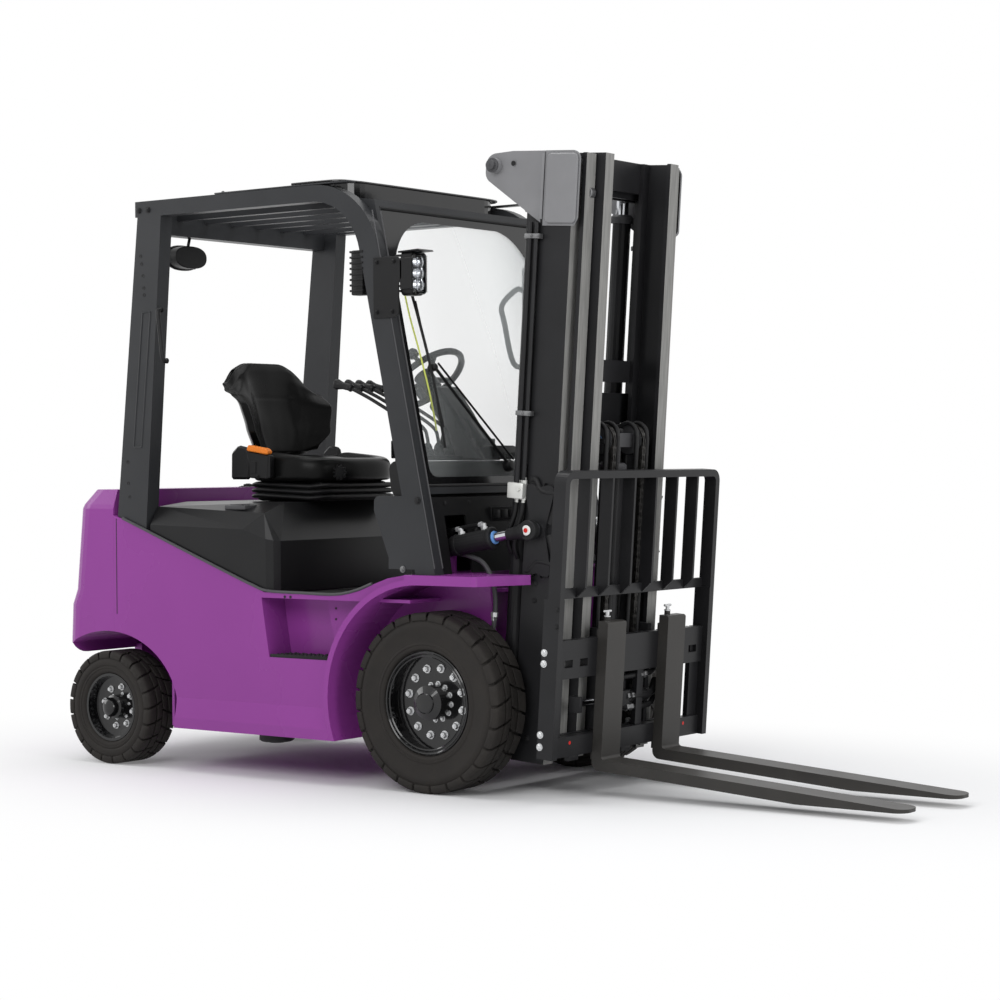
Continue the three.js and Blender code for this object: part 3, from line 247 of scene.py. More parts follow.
def surface(
    name, dark, light, rough, patch=6, grain=900, bump=0.1, depth=0.0002, metal=0.0, coat=0.0, shine=0.2
):
    mat = bpy.data.materials.new(name)
    mat.use_nodes = True
    n, l = mat.node_tree.nodes, mat.node_tree.links
    shader = n["Principled BSDF"]
    shader.inputs["Metallic"].default_value = metal
    shader.inputs["Coat Weight"].default_value = coat
    shader.inputs["Specular IOR Level"].default_value = 0.5 if metal else shine
    shader.inputs["Coat Roughness"].default_value = 0.08
    where = n.new("ShaderNodeTexCoord")
    cloud = n.new("ShaderNodeTexNoise")
    cloud.inputs["Scale"].default_value = patch
    cloud.inputs["Detail"].default_value = 5
    tones = n.new("ShaderNodeMix")
    tones.data_type = "RGBA"
    tones.inputs["A"].default_value = dark
    tones.inputs["B"].default_value = light
    gloss = n.new("ShaderNodeMapRange")
    gloss.inputs["To Min"].default_value = rough[0]
    gloss.inputs["To Max"].default_value = rough[1]
    fine = n.new("ShaderNodeTexNoise")
    fine.inputs["Scale"].default_value = grain
    fine.inputs["Detail"].default_value = 3
    relief = n.new("ShaderNodeBump")
    relief.inputs["Strength"].default_value = bump
    relief.inputs["Distance"].default_value = depth
    l.new(where.outputs["Object"], cloud.inputs["Vector"])
    l.new(where.outputs["Object"], fine.inputs["Vector"])
    l.new(cloud.outputs["Fac"], tones.inputs["Factor"])
    l.new(cloud.outputs["Fac"], gloss.inputs["Value"])
    l.new(fine.outputs["Fac"], relief.inputs["Height"])
    l.new(tones.outputs["Result"], shader.inputs["Base Color"])
    l.new(gloss.outputs["Result"], shader.inputs["Roughness"])
    l.new(relief.outputs["Normal"], shader.inputs["Normal"])
    return mat


print("helper ready")

# %% [markdown]
# The body is a gloss enamel over steel plate and cast iron. Its orange peel is broad and shallow. The
# guard and the mast are powder coated, which is satin with a fine pebble. The rails' front faces get a
# painted sheen: a lighter colour, streaked along their length, for the light they catch.

# %% Paints
body_enamel = surface(
    "body_enamel", colour(135, 58, 140), colour(143, 63, 148), (0.22, 0.32), 3, 140, 0.05, 0.0004, coat=0.08
)
guard_coat = surface(
    "guard_coat", colour(42, 43, 45), colour(53, 54, 56), (0.3, 0.42), 5, 1500, 0.16, 0.0002
)
mast_coat = surface("mast_coat", colour(27, 27, 28), colour(38, 38, 40), (0.3, 0.44), 7, 1200, 0.16, 0.0002)
fork_coat = surface("fork_coat", colour(50, 49, 47), colour(64, 62, 60), (0.34, 0.48), 9, 700, 0.25, 0.0003)
axle_coat = surface("axle_coat", colour(26, 26, 27), colour(38, 38, 39), (0.45, 0.6), 12, 400, 0.4, 0.0005)
rim_enamel = surface(
    "rim_enamel", colour(14, 14, 15), colour(22, 22, 23), (0.1, 0.18), 8, 160, 0.04, 0.0003, coat=0.6
)
# Painted sheen: a light grey for the brackets and cover plates at the rail tops, standing in for their
# broad sheen.
bracket_sheen_coat = surface(
    "bracket_sheen_coat", colour(116, 116, 118), colour(138, 138, 140), (0.3, 0.42), 5, 900, 0.15, 0.0002
)
grey_coat = surface("grey_coat", colour(66, 66, 68), colour(80, 80, 82), (0.4, 0.5), 8, 900, 0.15, 0.0002)


# Painted sheen: a lighter grey, streaked along its length, for the rails' front faces where they catch the
# front light.
def rail_sheen_paint():
    mat = surface(
        "rail_sheen_paint", colour(100, 100, 99), colour(156, 155, 152), (0.36, 0.52), 4, 900, 0.15, 0.0002
    )
    n, l = mat.node_tree.nodes, mat.node_tree.links
    stretch = n.new("ShaderNodeMapping")
    stretch.inputs["Scale"].default_value = (30, 30, 0.6)
    where = next(x for x in n if x.bl_idname == "ShaderNodeTexCoord")
    cloud = next(x for x in n if x.bl_idname == "ShaderNodeTexNoise")
    l.new(where.outputs["Object"], stretch.inputs["Vector"])
    l.new(stretch.outputs["Vector"], cloud.inputs["Vector"])
    return mat


front_sheen_mat = rail_sheen_paint()
print("paints:", 9)

# %% [markdown]
# The hood and the dash are moulded in black plastic with a leather-like grain. The seat is vinyl, with
# a softer, larger grain and a low sheen. Tyres are nearly matt, brown-black where dust has settled.

# %% Plastics, vinyl and rubber
def grained(name, dark, light, rough, cells, bump, shine=0.2):
    mat = surface(name, dark, light, rough, 4, 900, 0.1, 0.0002, shine=shine)
    n, l = mat.node_tree.nodes, mat.node_tree.links
    where = next(x for x in n if x.bl_idname == "ShaderNodeTexCoord")
    relief = next(x for x in n if x.bl_idname == "ShaderNodeBump")
    pebble = n.new("ShaderNodeTexVoronoi")
    pebble.feature = "DISTANCE_TO_EDGE"
    pebble.inputs["Scale"].default_value = cells
    l.new(where.outputs["Object"], pebble.inputs["Vector"])
    l.new(pebble.outputs["Distance"], relief.inputs["Height"])
    relief.inputs["Strength"].default_value = bump
    relief.inputs["Distance"].default_value = 0.0003
    return mat


hood_plastic = grained("hood_plastic", colour(23, 23, 24), colour(30, 30, 31), (0.26, 0.34), 620, 0.25)
trim_plastic = grained("trim_plastic", colour(18, 18, 19), colour(26, 26, 27), (0.32, 0.42), 700, 0.3)
seat_vinyl = grained("seat_vinyl", colour(11, 11, 11), colour(16, 16, 16), (0.24, 0.34), 380, 0.3, 0.1)
mat_rubber = grained("mat_rubber", colour(26, 26, 26), colour(34, 34, 34), (0.6, 0.7), 300, 0.4)
tyre_rubber = surface(
    "tyre_rubber", colour(30, 28, 27), colour(48, 45, 42), (0.62, 0.8), 14, 420, 0.35, 0.0005
)
hose_rubber = surface(
    "hose_rubber", colour(20, 20, 21), colour(30, 30, 31), (0.4, 0.5), 20, 900, 0.25, 0.0002
)
print("plastics and rubbers:", 6)

# %% [markdown]
# Bare metals come next. The rods are chromed, the bolts and hose fittings are zinc plated, and the
# chains are oily steel. A few small things are bright, and they are what makes the truck look real.

# %% Metals and small bright things
chrome = surface(
    "chrome", colour(196, 198, 202), colour(214, 216, 220), (0.06, 0.12), 6, 300, 0.03, 0.0002, metal=1
)
steel_grey = surface(
    "steel_grey",
    colour(104, 105, 106),
    colour(136, 136, 137),
    (0.3, 0.45),
    30,
    900,
    0.15,
    0.0002,
    metal=0.8,
)
zinc = surface(
    "zinc", colour(196, 197, 198), colour(222, 223, 224), (0.2, 0.34), 30, 900, 0.15, 0.0002, metal=0.55
)
chain_steel = surface(
    "chain_steel", colour(46, 45, 44), colour(84, 82, 80), (0.3, 0.45), 60, 800, 0.2, 0.0002, metal=0.8
)
valve_metal = surface(
    "valve_metal",
    colour(196, 197, 194),
    colour(222, 222, 218),
    (0.3, 0.42),
    20,
    600,
    0.15,
    0.0002,
    metal=0.5,
)
orange_plastic = surface(
    "orange_plastic", colour(232, 124, 40), colour(242, 140, 54), (0.35, 0.42), 20, 900, 0.1, 0.0002
)
red_plastic = surface(
    "red_plastic", colour(196, 34, 30), colour(214, 46, 40), (0.3, 0.38), 20, 900, 0.1, 0.0002
)
blue_seal = surface(
    "blue_seal", colour(92, 142, 206), colour(110, 160, 220), (0.35, 0.4), 20, 900, 0.1, 0.0002
)
cable_yellow = surface(
    "cable_yellow", colour(206, 214, 96), colour(222, 230, 120), (0.4, 0.5), 20, 900, 0.1, 0.0002
)
white_mark = surface(
    "white_mark", colour(226, 226, 224), colour(240, 240, 238), (0.5, 0.6), 30, 900, 0.1, 0.0002
)


def clear(name, tint, rough, weight=1.0):
    mat = bpy.data.materials.new(name)
    mat.use_nodes = True
    shader = mat.node_tree.nodes["Principled BSDF"]
    shader.inputs["Base Color"].default_value = tint
    shader.inputs["Roughness"].default_value = rough
    shader.inputs["IOR"].default_value = 1.45
    shader.inputs["Transmission Weight"].default_value = weight
    return mat


def window():
    """Thin flat glass: mostly see-through, with a reflection that grows at a glancing angle."""
    mat = bpy.data.materials.new("window")
    mat.use_nodes = True
    n, l = mat.node_tree.nodes, mat.node_tree.links
    shader = n["Principled BSDF"]
    shader.inputs["Base Color"].default_value = (0.86, 0.9, 0.9, 1)
    shader.inputs["Roughness"].default_value = 0.02
    edge = n.new("ShaderNodeFresnel")
    edge.inputs["IOR"].default_value = 1.2
    dust = n.new("ShaderNodeTexNoise")
    dust.inputs["Scale"].default_value = 3
    film = n.new("ShaderNodeMapRange")
    film.inputs["To Min"].default_value = 0.015
    film.inputs["To Max"].default_value = 0.035
    total = n.new("ShaderNodeMath")
    total.operation = "ADD"
    total.use_clamp = True
    l.new(dust.outputs["Fac"], film.inputs["Value"])
    l.new(film.outputs["Result"], total.inputs[0])
    l.new(edge.outputs["Fac"], total.inputs[1])
    l.new(total.outputs[0], shader.inputs["Alpha"])
    return mat


window_glass = window()
lens_plastic = clear("lens_plastic", (0.92, 0.93, 0.94, 1), 0.05)
print("metals and small things:", 12)

# %% [markdown]
# The CAD pieces keep their shapes. This cell hands each one its finish, and smooths the shading of
# turned and bent faces while flat faces stay crisp.

# %% Finishes for the CAD pieces
node_finish = {
    "chassis_frame": body_enamel,
    "counterweight": body_enamel,
    "battery_pack": grey_coat,
    "rear_deck": hood_plastic,
    "floor_plate": mat_rubber,
    "dash_cowl": trim_plastic,
    "steering_column": trim_plastic,
    "steering_wheel": trim_plastic,
    "lever_bank": trim_plastic,
    "drive_axle": axle_coat,
    "steer_axle": axle_coat,
    "steer_knuckle_right": axle_coat,
    "steer_knuckle_left": axle_coat,
    "hood": hood_plastic,
    "seat_base": trim_plastic,
    "seat_cushion": seat_vinyl,
    "seat_backrest": seat_vinyl,
    "overhead_guard": guard_coat,
    "guard_header": rim_enamel,
    "windscreen": window_glass,
    "work_lamp": trim_plastic,
    "free_lift_crosshead": grey_coat,
    "mast_outer": mast_coat,
    "mast_middle": mast_coat,
    "mast_inner": mast_coat,
    "free_lift_barrel": mast_coat,
    "carriage": mast_coat,
    "side_shifter": mast_coat,
    "load_backrest": mast_coat,
}
for side in ("right", "left"):
    node_finish[f"headlight_{side}"] = guard_coat
    node_finish[f"lift_barrel_{side}"] = mast_coat
    node_finish[f"lift_rod_{side}"] = chrome
    node_finish[f"tilt_barrel_{side}"] = axle_coat
    node_finish[f"tilt_rod_{side}"] = chrome
    node_finish[f"fork_{side}"] = fork_coat
    for end in ("front", "rear"):
        node_finish[f"{end}_{side}_tyre"] = tyre_rubber
        node_finish[f"{end}_{side}_rim"] = rim_enamel


def dress(node, mat):
    mesh = frame["nodes"][node].data
    mesh.materials.clear()
    mesh.materials.append(mat)
    for face in mesh.polygons:
        face.material_index = 0
        face.use_smooth = True
    mesh.set_sharp_from_angle(angle=math.radians(28))


for node in frame["nodes"]:
    if node in node_finish:
        dress(node, node_finish[node])
print("dressed", len(node_finish), "CAD pieces")
# %% [markdown]
# ## Tools for small pieces
#
# Small pieces are built in millimetres, from a few kinds of solid: blocks with softened edges, bars,
# turned bits, plates cut from an outline, hoses and bolts. `make` puts several together as one piece,
# moves it to its place and lets it ride on its body.

# %% Solids in millimetres
def basis(axis):
    a = Vector(axis).normalized()
    u = a.orthogonal().normalized()
    return a, u, a.cross(u)


def turned(profile, origin, axis, sides=32, closed=False):
    """A solid of revolution: the profile is (radius, distance along the axis) pairs."""
    b = bmesh.new()
    a, u, v = basis(axis)
    rings = []
    for r, t in profile:
        middle = Vector(origin) + a * t
        if r < 1e-6:
            rings.append([b.verts.new(middle)])
            continue
        angles = [2 * math.pi * k / sides for k in range(sides)]
        rings.append([b.verts.new(middle + (u * math.cos(w) + v * math.sin(w)) * r) for w in angles])
    pairs = list(zip(rings, rings[1:])) + ([(rings[-1], rings[0])] if closed else [])
    for one, two in pairs:
        for k in range(sides):
            j = (k + 1) % sides
            if len(one) == 1:
                b.faces.new((one[0], two[k], two[j]))
            elif len(two) == 1:
                b.faces.new((one[k], two[0], one[j]))
            else:
                b.faces.new((one[k], two[k], two[j], one[j]))
    bmesh.ops.recalc_face_normals(b, faces=b.faces)
    return b


def bar(p, q, r, sides=16, soft=1.0):
    length = (Vector(q) - Vector(p)).length
    soft = min(soft, r / 2, length / 3)
    ends = [(0, 0), (r - soft, 0), (r, soft), (r, length - soft), (r - soft, length), (0, length)]
    return turned(ends, p, Vector(q) - Vector(p), sides)


def soften(b, width, steps=2):
    if width > 0:
        edges = [e for e in b.edges if e.calc_face_angle(0) > 0.35]
        bmesh.ops.bevel(b, geom=edges, offset=width, segments=steps, profile=0.6, affect="EDGES")
    return b


def block(x0, x1, y0, y1, z0, z1, soft=2.0):
    b = bmesh.new()
    bmesh.ops.create_cube(b, size=1)
    for v in b.verts:
        v.co = Vector(
            (x0 if v.co.x < 0 else x1, y0 if v.co.y < 0 else y1, z0 if v.co.z < 0 else z1)
        )
    bmesh.ops.recalc_face_normals(b, faces=b.faces)
    return soften(b, soft)


def plate(outline, plane, low, high, soft=1.0):
    """A plate cut from an outline in the xz, yz or xy plane, from low to high across it."""
    order = {"xz": lambda p, t: (p[0], t, p[1]), "yz": lambda p, t: (t, *p), "xy": lambda p, t: (*p, t)}
    b = bmesh.new()
    ends = [[b.verts.new(order[plane](p, t)) for p in outline] for t in (low, high)]
    b.faces.new(ends[0])
    b.faces.new(ends[1][::-1])
    for k in range(len(outline)):
        j = (k + 1) % len(outline)
        b.faces.new((ends[0][k], ends[1][k], ends[1][j], ends[0][j]))
    bmesh.ops.recalc_face_normals(b, faces=b.faces)
    return soften(b, soft, 1)


def curve_through(points, steps=6):
    """Points on a smooth line through the given ones."""
    pts = [Vector(p) for p in points]
    if len(pts) < 3 or steps < 2:
        return pts
    ends = [2 * pts[0] - pts[1], *pts, 2 * pts[-1] - pts[-2]]
    line = []
    for a, b, c, d in zip(ends, ends[1:], ends[2:], ends[3:]):
        for k in range(steps):
            t = k / steps
            line.append(
                0.5 * (
                    2 * b + (c - a) * t + (
                        2 * a - 5 * b + 4 * c - d
                    ) * t**2 + (3 * b - a - 3 * c + d) * t**3
                )
            )
    return [*line, pts[-1]]


def hose(points, r, sides=10, steps=6, waist=0.0):
    """A round hose along a line. A waist makes it ribbed, as a bellows or a grip is."""
    b = bmesh.new()
    line = curve_through(points, steps)
    u = (line[1] - line[0]).orthogonal().normalized()
    rings = []
    for i, p in enumerate(line):
        way = (line[min(i + 1, len(line) - 1)] - line[max(i - 1, 0)]).normalized()
        u = (u - way * u.dot(way)).normalized()
        v = way.cross(u)
        here = r * (1 - waist * (i % 2))
        angles = [2 * math.pi * k / sides for k in range(sides)]
        rings.append([b.verts.new(p + (u * math.cos(w) + v * math.sin(w)) * here) for w in angles])
    for one, two in zip(rings, rings[1:]):
        for k in range(sides):
            j = (k + 1) % sides
            b.faces.new((one[k], two[k], two[j], one[j]))
    b.faces.new(rings[0][::-1])
    b.faces.new(rings[-1])
    bmesh.ops.recalc_face_normals(b, faces=b.faces)
    return b


def bolt(p, axis, r=8, height=7, sides=6):
    """A bolt head or nut on its washer, standing at p along axis."""
    thin = r * 0.22
    washer = turned([(0, -1), (r * 1.35, -1), (r * 1.35, thin), (0, thin)], p, axis, 18)
    head = turned([(0, 0), (r, 0), (r, height * 0.8), (r * 0.84, height), (0, height)], p, axis, sides)
    tip = turned(
        [(0, height - 1), (r * 0.5, height - 1), (r * 0.42, height + 2), (0, height + 2)], p, axis, 12
    )
    return [washer, head, tip]


print("solids: turned, bar, block, plate, hose, bolt")

# %% Putting solids together as one piece
def flat_list(parts):
    for part in parts:
        if isinstance(part, (list, tuple)):
            yield from flat_list(part)
        else:
            yield part


def make(name, parts, mat, body, place=at, sharp=32):
    whole = bmesh.new()
    for part in flat_list(parts):
        passing = bpy.data.meshes.new("passing")
        part.to_mesh(passing)
        part.free()
        whole.from_mesh(passing)
        bpy.data.meshes.remove(passing)
    for v in whole.verts:
        v.co = place(*v.co)
    mesh = bpy.data.meshes.new(name)
    whole.to_mesh(mesh)
    whole.free()
    mesh.materials.append(mat)
    for face in mesh.polygons:
        face.use_smooth = True
    mesh.set_sharp_from_angle(angle=math.radians(sharp))
    made = bpy.data.objects.new(name, mesh)
    bpy.context.scene.collection.objects.link(made)
    if body:
        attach(made, body)
    return made


def beside(node):
    """A place function whose origin is the middle of a CAD piece."""
    middle = middle_of(node)
    return lambda x, y, z: middle + Vector((x, y, z)) / 1000


def mirrored(place):
    return lambda x, y, z: place(x, -y, z)


print("make, beside and mirrored are ready")
# %% [markdown]
# ## Wheels
#
# The tyres are solid industrial ones. The sidewall is smooth, with moulded rings. The tread has three
# rows of broad blocks with thin grooves between them, and the outer rows turn down over the shoulder.

# %% Tread blocks
def tread_block(radius, height, y0, y1, angle, width, slant, shoulder):
    """One block between y0 and y1, bent round the wheel in four steps. slant shifts its outer end."""
    base = radius - height - 3
    if shoulder:
        section = [
            (y0, base),
            (y0, radius - 1),
            (y0 + 2, radius),
            (y1 - 12, radius),
            (y1 - 4, radius - 3),
            (y1 + 1, radius - 10),
            (y1 + 1.5, radius - 27),
            (y1 - 5, radius - 31),
            (y1 - 12, base - 6),
        ]
    else:
        section = [
            (y0, base), (y0, radius - 1), (y0 + 2, radius), (y1 - 2, radius), (y1, radius - 1), (y1, base)
        ]
    side = 1 if y1 > 0 else -1
    b = bmesh.new()
    slices = []
    for k in range(4):
        ring = []
        for y, r in section:
            a = angle + width * (k / 3 - 0.5) + slant * (abs(y) - y0) / (y1 - y0)
            ring.append(b.verts.new((r * math.sin(a), y, r * math.cos(a))))
        slices.append(ring)
    for one, two in zip(slices, slices[1:]):
        for k in range(len(section)):
            j = (k + 1) % len(section)
            b.faces.new((one[k], two[k], two[j], one[j]))
    b.faces.new(slices[0])
    b.faces.new(slices[-1][::-1])
    bmesh.ops.recalc_face_normals(b, faces=b.faces)
    return soften(b, 1.1, 1)


def flipped(block_mesh):
    bmesh.ops.scale(block_mesh, vec=(1, -1, 1), verts=block_mesh.verts)
    bmesh.ops.reverse_faces(block_mesh, faces=block_mesh.faces)
    return block_mesh


# %% Tyres
def tyre(end, side, radius, width, rim, count, height):
    half = width / 2
    shoulder = radius - height
    wall = [
        (rim, half - 16),
        (rim + 7, half - 7),
        (rim + 12, half - 4),
        (rim + 20, half - 5),
        (rim + 22, half - 2.5),
        (rim + 28, half - 2.5),
        (rim + 30, half - 4),
        (shoulder - 46, half - 1),
        (shoulder - 42, half + 0.5),
        (shoulder - 26, half + 0.5),
        (shoulder - 20, half - 4),
        (shoulder - 8, half - 6),
        (shoulder, half - 14),
    ]
    loop = wall + [(r, -y) for r, y in reversed(wall)]
    parts = [turned(loop, (0, 0, 0), (0, 1, 0), 96, closed=True)]
    pitch = 2 * math.pi / count
    inner = half * 0.44
    for k in range(count):
        a = k * pitch
        parts.append(tread_block(radius, height, inner, half, a, pitch * 0.865, 0.05, True))
        parts.append(
            flipped(tread_block(radius, height, inner, half, a + 0.5 * pitch, pitch * 0.865, 0.05, True))
        )
        parts.append(
            tread_block(radius, height, 2.5, inner - 7, a - 0.2 * pitch, pitch * 0.875, 0.05, False)
        )
        parts.append(
            flipped(
                tread_block(radius, height, 2.5, inner - 7, a + 0.3 * pitch, pitch * 0.875, 0.05, False)
            )
        )
    node = f"{end}_{side}_tyre"
    made = make(f"{node}_look", parts, tyre_rubber, f"{end}_{side}_wheel", beside(node), 40)
    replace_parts(made, node)
    return made


for side in ("right", "left"):
    tyre("front", side, 322, 178, 186, 25, 12)
    tyre("rear", side, 222, 156, 133, 21, 10)
print("four tyres")

# %% [markdown]
# Each rim gets its hardware: bright wheel nuts, a ring of small bolts round the hub and a cap. The
# front rims also get the split ring that locks the tyre on.

# %% Wheel nuts, hubs and lock rings
def face_of(node, way):
    """A function that says how far out a CAD piece's face is, in millimetres from its middle."""
    bpy.context.view_layer.update()
    obj = frame["nodes"][node]
    spots = [obj.matrix_world @ v.co for v in obj.data.vertices]
    tree = BVHTree.FromPolygons(spots, [tuple(p.vertices) for p in obj.data.polygons])
    middle = middle_of(node)

    def depth(x, z):
        start = middle + Vector((x / 1000, way, z / 1000))
        hit = tree.ray_cast(start, Vector((0, -way, 0)))[0]
        return (hit.y - middle.y) * 1000

    return depth


def ring_of_bolts(depth, way, radius, count, r, height, turn=0.0):
    parts = []
    for k in range(count):
        a = turn + 2 * math.pi * k / count
        x, z = radius * math.sin(a), radius * math.cos(a)
        parts.append(bolt((x, depth(x, z), z), (0, way, 0), r, height))
    return parts


for side, way in (("right", -1), ("left", 1)):
    node = f"front_{side}_rim"
    depth = face_of(node, way)
    hub = beside(node)
    body = f"front_{side}_wheel"
    nuts = ring_of_bolts(depth, way, 122, 12, 11.5, 15, 0.2)
    make(f"front_{side}_nuts", nuts, zinc, body, hub)
    small = ring_of_bolts(depth, way, 64, 12, 8, 9, 0.1)
    make(f"front_{side}_hub_bolts", small, zinc, body, hub)
    edge = depth(0, 30)
    cap = turned(
        [(0, 0), (37, 0), (37, 9), (33, 13), (18, 15), (0, 16)], (0, edge - way * 2, 0), (0, way, 0), 40
    )
    make(f"front_{side}_hub_cap", [cap], rim_enamel, body, hub)
    rings = [
        turned(
            [(r - 4, 0), (r, 3), (r + 4, 0), (r, -3)],
            (0, way * y, 0),
            (0, 1, 0),
            72,
            closed=True,
        )
        for r, y in ((181, 76), (168, 74))
    ]
    make(f"front_{side}_lock_ring", rings, rim_enamel, body, hub, 60)

    node = f"rear_{side}_rim"
    depth = face_of(node, way)
    hub = beside(node)
    body = f"rear_{side}_wheel"
    nuts = ring_of_bolts(depth, way, 78, 8, 10, 13, 0.2)
    make(f"rear_{side}_nuts", nuts, zinc, body, hub)
    small = ring_of_bolts(depth, way, 52, 6, 5, 5, 0.3)
    make(f"rear_{side}_hub_bolts", small, zinc, body, hub)
    edge = depth(0, 20)
    cap = turned(
        [(0, 0), (38, 0), (38, 6), (31, 20), (16, 28), (0, 30)], (0, edge - way * 2, 0), (0, way, 0), 36
    )
    make(f"rear_{side}_hub_cap", [cap], rim_enamel, body, hub)
print("wheel hardware on four rims")
# %% [markdown]
# ## Seat
#
# The seat is moulded foam under black vinyl. The cushion is built from rings of one soft-cornered
# outline: they climb the side, roll over a horseshoe bolster and sink into the sitting area. The
# backrest is built from level slices, each a curved shell that wraps forward into two wings.

# %% Helpers for padded shapes
def smooth(t):
    t = max(0.0, min(1.0, t))
    return t * t * (3 - 2 * t)


def bump(t, middle, width):
    return smooth(1 - abs(t - middle) / width)


def between(table, t):
    """Read a table of (t, value) pairs, easing from one to the next."""
    for (t0, v0), (t1, v1) in zip(table, table[1:]):
        if t <= t1:
            return v0 + (v1 - v0) * smooth((t - t0) / (t1 - t0))
    return table[-1][1]


def rings_to_skin(rings):
    """Join closed rings of points, one to the next, and cap both ends."""
    b = bmesh.new()
    loops = [[b.verts.new(p) for p in ring] for ring in rings]
    for one, two in zip(loops, loops[1:]):
        for k in range(len(one)):
            j = (k + 1) % len(one)
            b.faces.new((one[k], one[j], two[j], two[k]))
    b.faces.new(loops[0])
    b.faces.new(loops[-1][::-1])
    bmesh.ops.recalc_face_normals(b, faces=b.faces)
    return b


def skin(made, levels=1):
    more = made.modifiers.new("rounder", "SUBSURF")
    more.levels = more.render_levels = levels
    return made


print("padded shape helpers are ready")

# %% Cushion
CUSHION_X = (-1138, -706)
CUSHION_HALF = 262
ROLL = [
    (150, 1103, 0),
    (40, 1103, 0),
    (10, 1105, 0),
    (2, 1113, 0),
    (0, 1126, 0.1),
    (0, 1150, 0.3),
    (2, 1170, 0.6),
    (8, 1186, 0.8),
    (18, 1197, 1),
    (32, 1202, 1),
    (48, 1200, 1),
    (62, 1192, 1),
    (70, 1183, 1),
    (73, 1181, 1),
    (78, 1183, 1),
    (115, 1180, 1),
    (165, 1177, 1),
    (195, 1176, 1),
]


def cushion_rings():
    middle, reach = sum(CUSHION_X) / 2, (CUSHION_X[1] - CUSHION_X[0]) / 2
    rings = []
    for inset, z, tilt in ROLL:
        ring = []
        for k in range(72):
            a = 2 * math.pi * k / 72
            c, s = math.cos(a), math.sin(a)
            power = 3.5 - 0.5 * smooth(c)
            r = (abs(c) ** power + abs(s) ** power) ** (-1 / power)
            u, v = c * r, s * r
            flat = 1 - smooth((-u - 0.35) / 0.5)
            height = 1181 + (z - 1181) * flat if z > 1183 else z
            height += 0.1 * (height - 1103)
            ring.append((middle + (reach - inset) * u, (CUSHION_HALF - inset) * v, height - 17 * u * tilt))
        rings.append(ring)
    return rings


made = make("seat_cushion_look", [rings_to_skin(cushion_rings())], seat_vinyl, "hood_and_seat", at, 180)
skin(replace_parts(made, "seat_cushion"))
print("cushion", [round(v * 1000) for v in made.dimensions])

# %% Backrest
HALF = [(0, 182), (0.3, 238), (0.55, 261), (0.8, 261), (1, 236)]
WING = [(0, 70), (0.28, 108), (0.5, 112), (0.76, 74), (0.9, 34), (1, 8)]
THICK = [(0, 24), (0.05, 52), (0.5, 58), (0.9, 52), (0.96, 40), (1, 16)]


def shell_spot(t, v):
    """The middle of the shell at height share t; v runs from wing to wing, -1..1."""
    return Vector((-1174 - 74 * t + between(WING, t) * abs(v) ** 2.5, between(HALF, t) * v))


def relief(t, v):
    """How far the front of the padding stands proud of its plain thickness."""
    side = abs(v)
    panel = -8 * (1 - smooth((side - 0.42) / 0.16)) * bump(t, 0.5, 0.62)
    piping = 3 * bump(side, 0.56, 0.05)
    crease = -4 * bump(t, 0.62, 0.03) * (1 - smooth((side - 0.36) / 0.1))
    lumbar = 10 * bump(t, 0.28, 0.3) * (1 - smooth((side - 0.3) / 0.25))
    return panel + piping + crease + lumbar


def edge_height(t, v):
    """The top edge is an arch that falls towards the wing tips; the bottom corners are turned up."""
    side = abs(v)
    fall = (28 * smooth((side - 0.4) / 0.4) + 56 * smooth((side - 0.7) / 0.3)) * smooth((t - 0.5) / 0.5)
    lift = 26 * smooth((side - 0.6) / 0.4) * (1 - smooth(t / 0.3))
    return 1200 + 380 * t - fall + lift


def backrest_rings():
    rings = []
    for i in range(53):
        t = i / 52
        bend = 12 * (1 - smooth(t / 0.12)) + 10 * smooth((t - 0.93) / 0.07)
        ring = []
        for k in range(96):
            a = 2 * math.pi * k / 96
            v = math.sin(math.pi / 2 * max(-1.0, min(1.0, math.cos(a) * 1.02)))
            spot = shell_spot(t, v)
            along = (shell_spot(t, v + 0.01) - shell_spot(t, v - 0.01)).normalized()
            out = Vector((along.y, -along.x))
            push = math.sin(a)
            half = between(THICK, t) / 2 * (1 - 0.25 * abs(v))
            lift = math.copysign(abs(push) ** 0.55, push) * half
            if push > 0:
                lift += relief(t, v) * smooth(push / 0.3) * smooth((1 - t) / 0.1) * smooth(t / 0.1)
            p = spot + out * lift
            ring.append((p.x - bend * 0.3, p.y * (1 - 0.0012 * bend), edge_height(t, v)))
        rings.append(ring)
    return rings


made = make("seat_backrest_look", [rings_to_skin(backrest_rings())], seat_vinyl, "hood_and_seat", at, 180)
skin(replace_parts(made, "seat_backrest"))
print("backrest", [round(v * 1000) for v in made.dimensions])

# %% [markdown]
# Under the cushion a rubber bellows hides the suspension. Beside it sit the belt's buckle with its
# orange button, the weight knob, and a small switch on the far side.

# %% Bellows, buckle, knob and switch
def bellows_ring(x0, x1, half, z, radius):
    corner = 60
    spots = []
    for cx, cy, start in (
        (x1 - corner, half - corner, 0),
        (x0 + corner, half - corner, 90),
        (x0 + corner, corner - half, 180),
        (x1 - corner, corner - half, 270),
    ):
        for k in range(7):
            a = math.radians(start + 15 * k)
            spots.append((cx + corner * math.cos(a), cy + corner * math.sin(a)))
    b = bmesh.new()
    middle = Vector(((x0 + x1) / 2, 0))
    loops = []
    for k in range(10):
        w = 2 * math.pi * k / 10
        grow = 1 + radius * 1.7 * math.cos(w) / half
        rise = radius * math.sin(w)
        loop = []
        for s in spots:
            q = middle + (Vector(s) - middle) * grow
            sag = 7 * math.sin((q.x - x0) / (x1 - x0) * 6.0)
            loop.append(b.verts.new((q.x, q.y, z + rise + sag)))
        loops.append(loop)
    for i in range(10):
        one, two = loops[i], loops[(i + 1) % 10]
        for k in range(len(spots)):
            j = (k + 1) % len(spots)
            b.faces.new((one[k], two[k], two[j], one[j]))
    bmesh.ops.recalc_face_normals(b, faces=b.faces)
    return b


